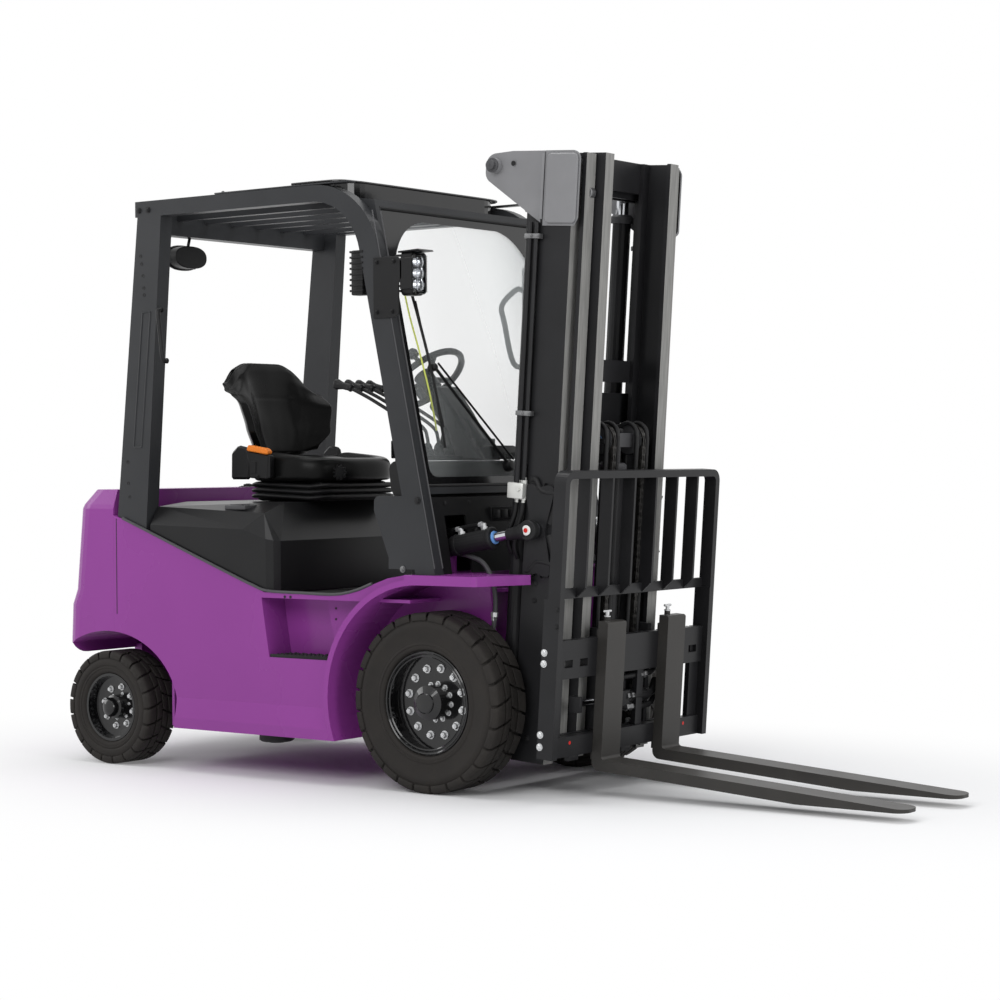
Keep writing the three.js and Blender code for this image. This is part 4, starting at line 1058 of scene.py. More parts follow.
folds = [bellows_ring(-1112, -740, 222, z, 9.5) for z in (1046, 1068, 1090)]
core = block(-1100, -762, -200, 200, 1027, 1104, 18)
made = make("seat_bellows", [folds, core], hose_rubber, "hood_and_seat", at, 60)
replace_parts(made, "seat_base")

hinge = [(-1160, 1112), (-1062, 1112), (-1052, 1170), (-1070, 1236), (-1120, 1246), (-1158, 1215)]
for side, place in (("right", at), ("left", mirrored(at))):
    make(f"seat_hinge_{side}", [plate(hinge, "xz", -284, -264, 9)], trim_plastic, "hood_and_seat", place)
buckle = [
    plate([(-1046, 1118), (-952, 1112), (-944, 1206), (-1052, 1222)], "xz", -300, -266, 5),
    plate([(-1036, 1136), (-1010, 1134), (-1008, 1180), (-1034, 1184)], "xz", -303, -299, 1),
    block(-962, -940, -296, -270, 1118, 1204, 5),
    bolt((-1000, -300, 1124), (0, -1, 0), 6, 4),
]
make("belt_buckle", buckle, trim_plastic, "hood_and_seat")
button = plate(
    [(-1060, 1224), (-952, 1208), (-946, 1220), (-960, 1232), (-1052, 1246)], "xz", -302, -272, 4
)
make("belt_button", [button], orange_plastic, "hood_and_seat")
knob_way = (0.8, -0.6, 0)
ridges = []
for k in range(10):
    w = 2 * math.pi * k / 10
    across = Vector((0.6 * math.cos(w) * 24, 0.8 * math.cos(w) * 24, math.sin(w) * 24))
    ridges.append(bolt(tuple(Vector((-726, -142, 1138)) + across), knob_way, 6.5, 15))
knob = [
    ridges,
    turned([(0, 0), (24, 0), (25, 4), (25, 13), (20, 18), (0, 19)], (-730, -139, 1138), knob_way, 30),
]
make("weight_knob", knob, trim_plastic, "hood_and_seat", at, 20)
switch = [
    block(-800, -752, 268, 286, 1190, 1262, 5),
    bar((-776, 277, 1160), (-776, 277, 1200), 7),
]
make("switch_arm", switch, trim_plastic, "hood_and_seat")
make("switch_button", [block(-792, -764, 268, 284, 1260, 1270, 3)], red_plastic, "hood_and_seat")
print("bellows, buckle, knob and switch")
# %% [markdown]
# ## Body details
#
# The side steps have a black serrated tread. A grey strip closes the joint between the hood and the
# side panel. Screws, plugs and small holes sit where the panels are fixed. A list of places is
# written once, for the right side, and mirrored for the left.

# %% Both sides of the truck
SIDES = (("right", at), ("left", mirrored(at)))


def both(name, build, mat, body, places=SIDES):
    for side, place in places:
        make(f"{name}_{side}", build(), mat, body, place)


def tread():
    parts = [block(-716, -432, -552, -432, 457, 463, 1)]
    for i in range(15):
        x = -706 + i * 19
        for j in range(5):
            y = -544 + j * 23 + (i % 2) * 8
            spike = turned(
                [(0, 0), (6.5, 0), (5, 5), (2.6, 5.5), (2.6, 2), (0, 2)], (x, y, 462), (0, 0, 1), 8
            )
            parts.append(spike)
    parts.append(block(-716, -440, -553, -549, 452, 468, 1))
    return parts


def hood_strip():
    line = [
        (-1478, -556, 964), (-1380, -556, 929), (-1180, -556, 857), (-980, -556, 785), (-800, -556, 722)
    ]
    line += [(-720, -556, 702), (-560, -556, 699), (-400, -556, 698), (-300, -556, 715), (-222, -556, 742)]
    return [hose(line, 5.5, 8, 5)]


both("step_tread", tread, trim_plastic, "chassis")
both("hood_strip", hood_strip, grey_coat, "chassis")
print("treads and strips")

# %% Kick plate bolts, plugs, the joint line and the skirt's round plug
def screws(places, r=7, height=5, axis=(0, -1, 0)):
    return lambda: [bolt(p, axis, r, height) for p in places]


def dimples(places, r=5, axis=(0, -1, 0)):
    """Small dark discs with a rim, pressed into a panel: plugs, and on the rear legs painted shade in
    holes.
    """
    shape = [(0, -2), (r, -2), (r + 1.5, 0), (r + 1, 1.2), (r - 1, 0.4), (0, 0.2)]
    return lambda: [turned(shape, p, axis, 20) for p in places]


both("kick_plate_bolts", screws([(-84, -551, 796)], 9, 7), steel_grey, "chassis")
both("panel_dimples", dimples([(-640, -555.5, 682), (-612, -555.5, 682)], 4), axle_coat, "chassis")
both(
    "step_dimples",
    dimples([(-470, -464.5, 640), (-470, -464.5, 600), (-455, -464.5, 520)], 3),
    axle_coat,
    "chassis",
)


def seam():
    """The shadow line between the side panel and the counterweight."""
    return [plate([(-1515, 962), (-1511.5, 962), (-1511.5, 590), (-1515, 590)], "xz", -555.6, -554.8, 0.1)]


both("weight_seam", seam, hose_rubber, "chassis")


def under_plug():
    return [
        turned([(0, 0), (58, 0), (66, 6), (66, 26), (58, 32), (0, 34)], (-760, -470, 166), (0, 0, -1), 40),
        turned([(26, 33), (30, 37), (34, 33)], (-760, -470, 166), (0, 0, -1), 32, closed=True),
    ]


both("skirt_plug", under_plug, axle_coat, "chassis")
print("screws and plugs")

# %% Hood latch, hood pads and counterweight fittings
latch = [
    block(-1010, -905, -478, -408, 1000, 1016, 3),
    block(-996, -942, -462, -424, 1012, 1020, 2),
    bar((-928, -443, 1012), (-928, -443, 1021), 11, 20),
]
make("hood_latch", latch, grey_coat, "hood_and_seat")


def weight_details():
    parts = [
        turned([(30, 0), (36, 3), (42, 0), (36, -3)], (-1600, -300, 1075), (0, 0, 1), 32, closed=True),
        bolt((-1600, -300, 1075), (0, 0, 1), 22, 12),
    ]
    return parts


both("counterweight_bolt", weight_details, axle_coat, "chassis")
pin = [
    bar((-1765, 0, 540), (-1765, 0, 668), 13, 24),
    turned([(0, 0), (24, 0), (24, 9), (18, 13), (0, 13)], (-1765, 0, 664), (0, 0, 1), 28),
]
make("tow_pin", pin, zinc, "chassis")
print("latch, counterweight bolts and tow pin")

# %% [markdown]
# The rear lights are clusters of three lenses in a dark case, set on the counterweight's rear face.

# %% Rear lights
def lamp_case():
    return [plate([(-1792, 850), (-1760, 850), (-1740, 990), (-1774, 990)], "xz", -420, -350, 4)]


def lamp_lens(z0, z1):
    lean = 18 / 140
    x0, x1 = -1797 + (z0 - 850) * lean, -1797 + (z1 - 850) * lean
    return [plate([(x0, z0), (x0 + 14, z0), (x1 + 14, z1), (x1, z1)], "xz", -414, -356, 3)]


for side, place in SIDES:
    make(f"rear_lamp_case_{side}", lamp_case(), trim_plastic, "chassis", place)
    make(f"rear_lamp_red_{side}", lamp_lens(945, 983), red_plastic, "chassis", place)
    make(f"rear_lamp_amber_{side}", lamp_lens(902, 940), orange_plastic, "chassis", place)
    make(f"rear_lamp_white_{side}", lamp_lens(858, 897), white_mark, "chassis", place)
print("rear lights")
# %% [markdown]
# ## Overhead guard
#
# The guard carries grab handles, a mirror, wipers, headlights and a work lamp. Its rear legs have a
# row of mounting holes, drawn as dark discs with a bright rim: painted shade in the holes.

# %% Handles, sockets and beam plates
def grab_handle(a, b, out, r=9):
    """A bent bar between two feet. out is how far it stands off."""
    way = (Vector(b) - Vector(a)).normalized()
    off = Vector(out)
    p, q = Vector(a), Vector(b)
    line = [p, p + off * 0.7, p + off + way * 22, (p + q) / 2 + off, q + off - way * 22, q + off * 0.7, q]
    feet = [bolt(p, off, 8, 4), bolt(q, off, 8, 4)]
    return [hose(line, r, 12, 6), feet]


rear_handle = grab_handle((-1262, -551, 1765), (-1236, -551, 1570), (0, -22, 0))
make("rear_handle", rear_handle, trim_plastic, "chassis")
front_leg = lambda z: 60 - 300 * (z - 777) / 1411
bent = [
    (-296, -480, 1850),
    (-330, -480, 1852),
    (-398, -480, 1795),
    (-386, -480, 1720),
    (-342, -480, 1562),
    (-262, -480, 1552),
]
make("front_handle_left", [hose(bent, 11, 12, 5)], trim_plastic, "chassis", mirrored(at))
# Dark discs for the rear legs' mounting holes: painted shade in the holes.
sockets = [
    (-1372, -550.5, 1978),
    (-1367, -550.5, 1947),
    (-1361, -550.5, 1901),
    (-1357, -550.5, 1854),
    (-1355, -550.5, 1827),
]
sockets += [(-1452, -550.5, 1183), (-1450, -550.5, 1100), (-1443, -550.5, 1047)]
both("leg_hole_shades", dimples(sockets, 5), axle_coat, "chassis")
both("beam_bolts", screws([(-1379, -550.5, 2153), (-1330, -550.5, 2153)], 9, 7), axle_coat, "chassis")


def beam_cover():
    return [block(-985, -330, -548, -502, 2189, 2195, 2), bolt((-960, -525, 2195), (0, 0, 1), 7, 5)]


def leg_recess():
    """A long raised frame on the rear leg's side, as a pressed channel has."""
    corners = [(-1418, 1240), (-1376, 1240), (-1322, 1760), (-1364, 1760)]
    parts = []
    for k in range(4):
        (x0, z0), (x1, z1) = corners[k], corners[(k + 1) % 4]
        parts.append(hose([(x0, -550, z0), (x1, -550, z1)], 3.2, 8, 1))
    return parts


both("beam_cover", beam_cover, guard_coat, "chassis")
both("leg_recess", leg_recess, guard_coat, "chassis")
cross = [block(-1396, -1391, -430, -60, 2092, 2150, 3), block(-1396, -1391, 60, 430, 2092, 2150, 3)]
make("cross_beam_panels", cross, axle_coat, "chassis")
print("handles, sockets and covers")

# %% Front legs: lighter grey lines along the edges, and fasteners
# Two thin lighter grey lines along the edges of the leg's front face.
def leg_edge_lines():
    low, high = 800, 2080
    return [
        hose([(front_leg(low) + 1, -501, low), (front_leg(high) + 1, -501, high)], 3, 8, 1),
        hose([(front_leg(low) + 1, -547, low), (front_leg(high) + 1, -547, high)], 2.4, 8, 1),
    ]


both("front_leg_edge_lines", leg_edge_lines, grey_coat, "chassis")
both("front_leg_bolts", screws([(front_leg(1040) - 20, -550.5, 1040)], 10, 8), axle_coat, "chassis")
print("leg trim")

# %% [markdown]
# The header is a glossy moulding. Its roof edge carries a bead, and the windscreen below it sits in a
# rubber seal with a dark printed border that widens at the corners.

# %% Header bead and windscreen border
def on_glass(y, z, off=0.0):
    """A point on the windscreen's front face: off is how far it stands in front."""
    return (front_leg(z) - 30 + off, y, z)


bead = [(-640, -497, 2206), (-480, -497, 2206), (-425, -480, 2206), (-404, -430, 2206), (-399, -300, 2206)]
bead += [(-398, 0, 2206)] + [(x, -y, z) for x, y, z in reversed(bead)]
make("header_bead", [hose(bead, 5, 10, 6)], rim_enamel, "chassis")
half = 474
seal = []
for y0, z0, y1, z1 in (
    (-half, 1090, half, 1090),
    (half, 1090, half, 2096),
    (half, 2096, -half, 2096),
    (-half, 2096, -half, 1090),
):
    seal.append(hose([on_glass(y0, z0, 4), on_glass(y1, z1, 4)], 7, 8, 1))
make("windscreen_seal", seal, hose_rubber, "chassis")


def glass_plate(outline, off, thick):
    """A thin plate on the glass from an outline of (y, z) points."""
    b = bmesh.new()
    ends = [[b.verts.new(on_glass(y, z, off + t)) for y, z in outline] for t in (0, thick)]
    b.faces.new(ends[0])
    b.faces.new(ends[1][::-1])
    for k in range(len(outline)):
        j = (k + 1) % len(outline)
        b.faces.new((ends[0][k], ends[1][k], ends[1][j], ends[0][j]))
    bmesh.ops.recalc_face_normals(b, faces=b.faces)
    return b


def border_corner(sy, sz):
    y0, z0 = sy * 470, 2092 if sz > 0 else 1094
    size = 240 if sz > 0 else 34
    reach = []
    for k in range(13):
        a = math.radians(90 * k / 12)
        reach.append((y0 - sy * (30 + size * (1 - math.sin(a))), z0 - sz * (30 + size * (1 - math.cos(a)))))
    return glass_plate([(y0, z0), (y0, reach[-1][1]), *reach[::-1], (reach[0][0], z0)], 0.6, 1.0)


strips = [
    glass_plate([(-470, 1094), (-440, 1094), (-440, 2092), (-470, 2092)], 0.5, 1.0),
    glass_plate([(470, 1094), (440, 1094), (440, 2092), (470, 2092)], 0.5, 1.0),
    glass_plate([(-440, 1094), (440, 1094), (440, 1122), (-440, 1122)], 0.5, 1.0),
    glass_plate([(-440, 2092), (440, 2092), (440, 2060), (-440, 2060)], 0.5, 1.0),
]
corners = [border_corner(sy, sz) for sy in (-1, 1) for sz in (-1, 1)]
make("windscreen_border", strips + corners, rim_enamel, "chassis")
print("header and windscreen edge")

# %% Wiper and its motor
def wiper():
    foot, elbow = Vector(on_glass(26, 1159, 20)), Vector(on_glass(-327, 1517, 22))
    link = Vector((0, 16, 18))
    arms = [
        hose([tuple(foot), tuple(elbow)], 6, 10, 1),
        hose([tuple(foot + link * 1.4), tuple(elbow + link)], 4, 8, 1),
    ]
    blade_line = [
        on_glass(-395, 1905, 8), on_glass(-364, 1700, 12), on_glass(-338, 1470, 12), on_glass(-334, 1226, 8)
    ]
    blade = [
        hose(blade_line, 5.5, 8, 8), hose([on_glass(-372, 1760, 18), on_glass(-334, 1300, 18)], 4, 8, 1)
    ]
    joint = turned([(0, 0), (15, 0), (15, 22), (10, 27), (0, 28)], on_glass(-330, 1517, 2), (1, 0, 0.2), 20)
    pivot = turned([(0, 0), (22, 0), (22, 20), (15, 28), (0, 30)], on_glass(26, 1159, 2), (1, 0, 0.2), 28)
    return [arms, blade, joint, pivot]


make("wiper", wiper(), trim_plastic, "chassis")
motor = [block(-170, -62, -40, 110, 1184, 1236, 10)]
make("wiper_motor", motor, trim_plastic, "chassis")
cable = [
    (-190, -398, 1790),
    (-170, -392, 1700),
    (-141, -378, 1582),
    (-114, -362, 1455),
    (-100, -350, 1364),
    (-92, -340, 1290),
]
make("yellow_cable", [hose(cable, 3.2, 8, 8)], cable_yellow, "chassis")
print("wipers")

# %% [markdown]
# The mirror is a rounded glass in a moulded shell, held by a short stalk under the header.

# %% Mirror
def rounded_rect(x0, x1, y0, y1, r, steps=5):
    spots = []
    for cx, cy, start in (
        (x1 - r, y1 - r, 0), (x0 + r, y1 - r, 90), (x0 + r, y0 + r, 180), (x1 - r, y0 + r, 270)
    ):
        for k in range(steps + 1):
            a = math.radians(start + 90 * k / steps)
            spots.append((cx + r * math.cos(a), cy + r * math.sin(a)))
    return spots


shell = [
    plate(rounded_rect(-345, -165, 2008, 2100, 30), "yz", -420, -392, 5),
    hose([(-392, -255, 2060), (-380, -255, 2110), (-385, -255, 2145)], 7, 10, 5),
]
make("mirror_shell", shell, trim_plastic, "chassis")
make(
    "mirror_glass",
    [plate(rounded_rect(-338, -172, 2015, 2093, 26), "yz", -424, -419, 1)],
    chrome,
    "chassis",
)
print("mirror")

# %% [markdown]
# Each headlight is a cluster: a stepped bracket bolted to the leg, a visor, a case with ribs on its
# back, and a ribbed clear lens over three reflectors.

# %% Headlights
def headlight_bracket():
    step = [
        (-206, 1908),
        (-96, 1908),
        (-76, 1890),
        (-76, 1830),
        (-90, 1812),
        (-90, 1702),
        (-112, 1690),
        (-206, 1690),
    ]
    bolts = [
        bolt((x, -557, z), (0, -1, 0), 7, 6)
        for x, z in ((-190, 1890), (-112, 1890), (-190, 1712), (-120, 1712))
    ]
    arm = plate([(-84, 1900), (-30, 1900), (-30, 1790), (-84, 1790)], "xz", -557, -551, 1)
    return [plate(step, "xz", -557, -551, 1), arm, bolts]


def headlight_case():
    body = plate(rounded_rect(-545, -468, 1768, 1924, 18), "yz", -92, -42, 4)
    ribs = [block(-118, -90, -538, -475, z, z + 7, 2) for z in range(1782, 1914, 18)]
    visor = plate([(-100, 1926), (-8, 1930), (-2, 1924), (-100, 1920)], "xz", -548, -464, 1)
    return [body, ribs, visor]


def headlight_lens():
    face = plate(rounded_rect(-541, -472, 1772, 1920, 16), "yz", -42, -26, 4)
    ribs = [block(-27, -23, -538, -475, z, z + 3, 0.8) for z in range(1780, 1914, 9)]
    return [face, ribs]


def headlight_reflectors():
    parts = []
    for z in (1806, 1846, 1886):
        cup = [(0, 4), (10, 6), (22, 16), (24, 16), (24, 18), (0, 18)]
        parts.append(turned([(r * 1.2, 18 - t) for r, t in cup][::-1], (-46, -506, z), (1, 0, 0), 32))
    return parts


def rib_box():
    body = block(-316, -262, -549, -500, 1778, 1940, 6)
    ribs = [block(-320, -258, -553, -520, z, z + 8, 2) for z in range(1790, 1934, 20)]
    return [body, ribs]


for side, place in SIDES:
    made = make(
        f"headlight_{side}_look", [headlight_bracket(), headlight_case()], trim_plastic, "chassis", place
    )
    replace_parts(made, f"headlight_{side}")
    make(f"headlight_{side}_lens", headlight_lens(), lens_plastic, "chassis", place)
    make(f"headlight_{side}_reflectors", headlight_reflectors(), chrome, "chassis", place)
    make(f"headlight_{side}_ballast", rib_box(), trim_plastic, "chassis", place)
print("headlights")

# %% [markdown]
# The work lamp is an oval with a ribbed bezel that hangs from a wire hook behind the guard.

# %% Work lamp
def oval(y, z, ry, rz, x0, x1, sides=40, power=2.4):
    spots = []
    for k in range(sides):
        a = 2 * math.pi * k / sides
        c, s = math.cos(a), math.sin(a)
        r = (abs(c) ** power + abs(s) ** power) ** (-1 / power)
        spots.append((y + ry * r * c, z + rz * r * s))
    return plate(spots, "yz", x0, x1, 3)


def work_lamp_case():
    ribs = [block(-1424, -1418, y, y + 6, 1950, 2030, 1.5) for y in range(-353, -201, 15)]
    return [
        oval(-275, 1990, 88, 44, -1410, -1364),
        oval(-275, 1990, 94, 50, -1422, -1410),
        ribs,
        hose(
            [(-1385, -275, 2030), (-1382, -271, 2055), (-1392, -255, 2072), (-1398, -235, 2090)], 6, 10, 6
        ),
        block(-1412, -1392.3, -245, -205, 2070, 2110, 3),
    ]


made = make("work_lamp_look", work_lamp_case(), trim_plastic, "chassis")
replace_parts(made, "work_lamp")
make("work_lamp_lens", [oval(-275, 1990, 84, 40, -1426, -1421)], lens_plastic, "chassis")
print("work lamp")
# %% [markdown]
# ## Controls
#
# Four levers rise from ribbed boots, bend back towards the driver and end in smooth grips. A tapering
# tower encloses the column, and the wheel has a knob for turning it with one hand.

# %% Levers, boots and grips
LEVERS = [-390 + 62 * k for k in range(4)]
rods = [block(-186, -104, -428, -166, 1181, 1199, 5)]
grips = []
boots = []
for y in LEVERS:
    rods.append(
        hose(
            [(-142, y, 1195), (-144, y, 1262), (-178, y, 1312), (-345, y, 1402), (-452, y, 1450)],
            6.5,
            12,
            7,
        )
    )
    grips.append(
        turned(
            [
                (0, 0),
                (11, 0),
                (15, 6),
                (12.5, 16),
                (13, 44),
                (17, 62),
                (20, 72),
                (19, 80),
                (12, 86),
                (0, 88),
            ],
            (-446, y, 1450),
            (-0.975, 0, 0.22),
            24,
        )
    )
    profile = [(0, 0)]
    for k in range(4):
        profile += [(27 - 3.5 * k, 11 * k), (23 - 3.5 * k, 11 * k + 8)]
    boots.append(turned([*profile, (8, 48), (0, 48)], (-142, y, 1198), (0, 0, 1), 24))
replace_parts(make("lever_bank_look", rods, trim_plastic, "chassis", at, 30), "lever_bank")
make("lever_grips", grips, trim_plastic, "chassis", at, 50)
make("lever_boots", boots, hose_rubber, "chassis", at, 25)
print("levers:", len(LEVERS))

# %% Column tower, wheel boss and knob
def tower():
    side = [
        (-334, 1452),
        (-300, 1464),
        (-222, 1362),
        (-136, 1240),
        (-90, 1181),
        (-322, 1181),
        (-286, 1290),
        (-336, 1400),
    ]
    tray = rounded_rect(-216, -166, 1296, 1336, 10)
    return [
        plate(side, "xz", -66, 62, 9),
        hose([(x, -66.5, z) for x, z in (*tray, tray[0])], 2, 6, 1),
        hose([(-290, -66.5, 1226), (-262, -66.5, 1320), (-276, -66.5, 1420)], 2.5, 6, 5),
        turned([(0, 0), (12, 0), (13, 10), (10, 60), (0, 64)], (-318, 60, 1420), (-0.5, 0.85, 0.2), 16),
    ]


make("column_tower", tower(), trim_plastic, "chassis")
wheel_boss = [
    turned([(0, 0), (40, 0), (40, 5), (30, 10), (0, 12)], (-417, 0, 1503.7), (-0.66, 0, 0.75), 32),
    turned(
        [(0, 0), (9, 0), (9, 14), (19, 20), (21, 38), (14, 50), (0, 52)],
        (-345, -129, 1558),
        (-0.66, 0, 0.75),
        24,
    ),
]
make("steering_boss", wheel_boss, trim_plastic, "steering_wheel_body")
key = [
    turned([(0, 0), (13, 0), (13, 5), (9, 7), (0, 7)], (-196, 120, 1140), (-1, 0, 0), 24),
    block(-214, -200, 117, 123, 1130, 1150, 1.5),
]
make("key_switch", key, zinc, "chassis")
make(
    "stop_button",
    [turned([(0, 0), (9, 0), (9, 10), (20, 13), (18, 22), (0, 25)], (-192, -120, 1130), (-1, 0, 0), 26)],
    red_plastic,
    "chassis",
)
wheel_boss = [
    turned([(0, 0), (40, 0), (40, 5), (30, 10), (0, 12)], (-417, 0, 1503.7), (-0.66, 0, 0.75), 32)
]
make("steering_boss", wheel_boss, trim_plastic, "steering_wheel_body")
print("tower, wheel boss, key and stop button")

# %% Dash face seen from the front
def cowl_details():
    parts = [
        turned([(0, 0), (30, 0), (34, 4), (30, 7), (24, 4), (0, 4)], (14, -230, 915), (1, 0, 0.17), 32),
        block(2, 14, -150, 150, 960, 1010, 3),
    ]
    for k in range(6):
        parts.append(block(12, 17, -140 + 48 * k, -104 + 48 * k, 970, 1000, 1.5))
    return parts


make("cowl_details", cowl_details(), trim_plastic, "chassis")
make(
    "cowl_screws",
    [bolt((8, y, 1030), (1, 0, 0.17), 5, 3) for y in (-420, -280, 280, 420)],
    axle_coat,
    "chassis",
)
mat_ribs = [block(-600 + 24 * k, -592 + 24 * k, -300, 300, 697, 701, 1) for k in range(12)]
make("floor_ribs", mat_ribs, mat_rubber, "chassis")
print("dash face and floor ribs")
# %% [markdown]
# ## Mast
#
# The rails' front faces get a painted sheen, lighter than the rest. Beside each outer rail two pipes run
# down in clamps to a valve block. Leaf chains and hoses hang over the sheaves of the free-lift crosshead.

# %% Painted sheen on the rails' front faces and on the brackets
FORWARD = Matrix.Rotation(LEAN, 3, "Y") @ Vector((1, 0, 0))
UPRIGHT = Matrix.Rotation(-LEAN, 3, "Y")


def in_mast(spot):
    """The other way round: from a place in the model to upright mast sizes in millimetres."""
    return UPRIGHT @ ((spot - AXLE) * 1000 - PIVOT) + PIVOT


def on_bracket(spot):
    """Whether a place is on the bracket that tops an outer rail, coloured light grey as a painted sheen."""
    foot, rail_side, rail_back, inside = 1985, 325.6, 242, 290
    side = abs(spot.y)
    return spot.z > foot and side > inside and (side > rail_side or spot.x < rail_back)


# Faces that look straight forward get the rails' painted sheen; bracket faces get the light grey painted
# sheen.
for node, front in (("mast_outer", 370), ("mast_middle", 405), ("mast_inner", 440)):
    obj = frame["nodes"][node]
    obj.data.materials.append(front_sheen_mat)
    obj.data.materials.append(bracket_sheen_coat)
    turn = obj.matrix_world.to_3x3()
    sheened = 0
    for face in obj.data.polygons:
        spot = in_mast(obj.matrix_world @ face.center)
        if node == "mast_outer" and on_bracket(spot):
            face.material_index = 2
        elif spot.x > front and (turn @ face.normal).normalized().dot(FORWARD) > 0.97:
            face.material_index = 1
            sheened += 1
    print(node, "worn faces:", sheened)

# %% Pipes, clamps, valve block and lifting eye
MAST_SIDES = (("right", on_mast), ("left", mirrored(on_mast)))


def mast_pipes():
    parts = []
    for x, r in ((212, 11), (240, 8)):
        parts.append(hose([(x, -340, 2030), (x, -340, 1500), (x, -340, 1110)], r, 12, 2))
    return parts


def pipe_clamps():
    parts = []
    for z in (1980, 1358):
        parts.append(block(196, 262, -353, -327, z - 9, z + 9, 4))
        parts.append(bolt((226, -353, z), (0, -1, 0), 6, 5))
        parts.append(bolt((256, -353, z), (0, -1, 0), 5, 4))
    return parts


def valve_block():
    parts = [block(182, 250, -360, -324, 1056, 1112, 5)]
    for x in (212, 240):
        parts.append(
            turned([(0, 0), (12, 0), (12, 14), (9, 14), (9, 24), (0, 24)], (x, -338, 1108), (0, 0, 1), 6)
        )
        parts.append(
            turned([(0, 0), (11, 0), (11, 12), (7, 12), (7, 22), (0, 22)], (x, -338, 1064), (0, 0, -1), 6)
        )
    parts.append(turned([(0, 0), (9, 0), (9, 9), (0, 10)], (232, -360, 1090), (0, -1, 0), 6))
    return parts


def mast_hoses():
    parts = []
    for x, drop in ((212, 0), (240, 18)):
        line = [
            (x, -340, 1040),
            (x - 4, -340, 1000),
            (x - 22, -338, 950 - drop),
            (x - 34, -330, 900 - drop),
            (x - 30, -312, 860 - drop),
        ]
        parts.append(hose(line, 9, 12, 6))
    return parts


def lifting_eye():
    return [
        turned(
            [(0, 0), (26, 0), (26, 5), (18, 7), (18, 18), (13, 20), (0, 20)],
            (41, -350, 2228),
            (0, -1, 0),
            32,
        ),
        turned([(0, 0), (3, 0), (3, 1.5), (0, 1.5)], (41, -370, 2228), (0, -1, 0), 12),
    ]


# Painted shade: a thin dark disc where a hole is, for the shade inside it.
def eye_hole_shade():
    return [turned([(0, 0), (9, 0), (9, 1.2), (0, 1.2)], (118, -331, 2236), (0, -1, 0), 24)]


def cover_plate():
    shape = rounded_rect(268, 400, 2026, 2270, 20)
    return [plate(shape, "xz", -342, -331, 4), block(245, 256, -336, -331, 2040, 2270, 2)]


def bracket_lips():
    """The raised lips and arms of the cast bracket that holds the tilt cylinder's pin."""
    top = [(268, -330, 1128), (288, -332, 1126), (304, -332, 1100), (326, -332, 1086), (376, -331, 1084)]
    low = [(258, -330, 802), (276, -332, 804), (296, -332, 828), (320, -332, 840), (376, -331, 834)]
    arms = [
        [(290, -322, 1106), (322, -320, 1040), (342, -318, 985)],
        [(384, -320, 1070), (362, -318, 1010), (350, -318, 975)],
        [(276, -322, 818), (314, -320, 880), (340, -318, 925)],
        [(384, -320, 852), (362, -318, 900), (348, -318, 935)],
    ]
    return [hose(line, 9, 12, 7) for line in (top, low)] + [hose(line, 17, 14, 6) for line in arms]


both("mast_pipes", mast_pipes, mast_coat, "outer_mast", MAST_SIDES)
both("pipe_clamps", pipe_clamps, steel_grey, "outer_mast", MAST_SIDES)
both("valve_block", valve_block, valve_metal, "outer_mast", MAST_SIDES)
both("mast_hoses", mast_hoses, hose_rubber, "outer_mast", MAST_SIDES)
both("lifting_eye", lifting_eye, grey_coat, "outer_mast", MAST_SIDES)
both("eye_hole_shade", eye_hole_shade, hose_rubber, "outer_mast", MAST_SIDES)
# The cover plates carry the light grey painted sheen.
both("cover_plate", cover_plate, bracket_sheen_coat, "outer_mast", MAST_SIDES)
both("bracket_lips", bracket_lips, axle_coat, "outer_mast", MAST_SIDES)
print("pipes, clamps, valves and eyes")

# %% Rollers at the rail tops and bolts down the rails
def roller(x, y, z, r, width):
    groove = [
        (0, 0), (r - 3, 0), (r, 3), (r, width - 3), (r - 3, width), (r - 8, width), (r - 9, width - 2)
    ]
    hub = [(r * 0.5, width - 2), (r * 0.45, width), (0, width)]
    return turned(groove + hub, (x, y, z), (0, -1, 0), 36)


both("top_rollers", lambda: [roller(363, -303.5, 2138, 21, 19)], steel_grey, "outer_mast", MAST_SIDES)
both("middle_rollers", lambda: [roller(399, -243, 2138, 21, 30)], steel_grey, "middle_mast", MAST_SIDES)


def rail_bolts():
    return [bolt((300, -325, z), (0, -1, 0), 8, 5) for z in (760, 700, 210)]


both("rail_bolts", rail_bolts, axle_coat, "outer_mast", MAST_SIDES)
foot = [turned([(0, 0), (30, 0), (34, 5), (34, 10), (22, 14), (0, 15)], (100, -322, 300), (0, -1, 0), 36)]
make("pivot_cap_right", foot, axle_coat, "outer_mast", on_mast)
foot = [turned([(0, 0), (30, 0), (34, 5), (34, 10), (22, 14), (0, 15)], (100, -322, 300), (0, -1, 0), 36)]
make("pivot_cap_left", foot, axle_coat, "outer_mast", mirrored(on_mast))
print("rollers and rail bolts")

# %% [markdown]
# A leaf chain is rows of thin plates on pins. Each link is drawn with its plates and its pin. The
# front strands run from the sheaves down to the carriage. The rear strands slide down behind the
# cylinder.

# %% Leaf chains
PITCH = 25.4
SHEAVE = (394, 1275, 44)


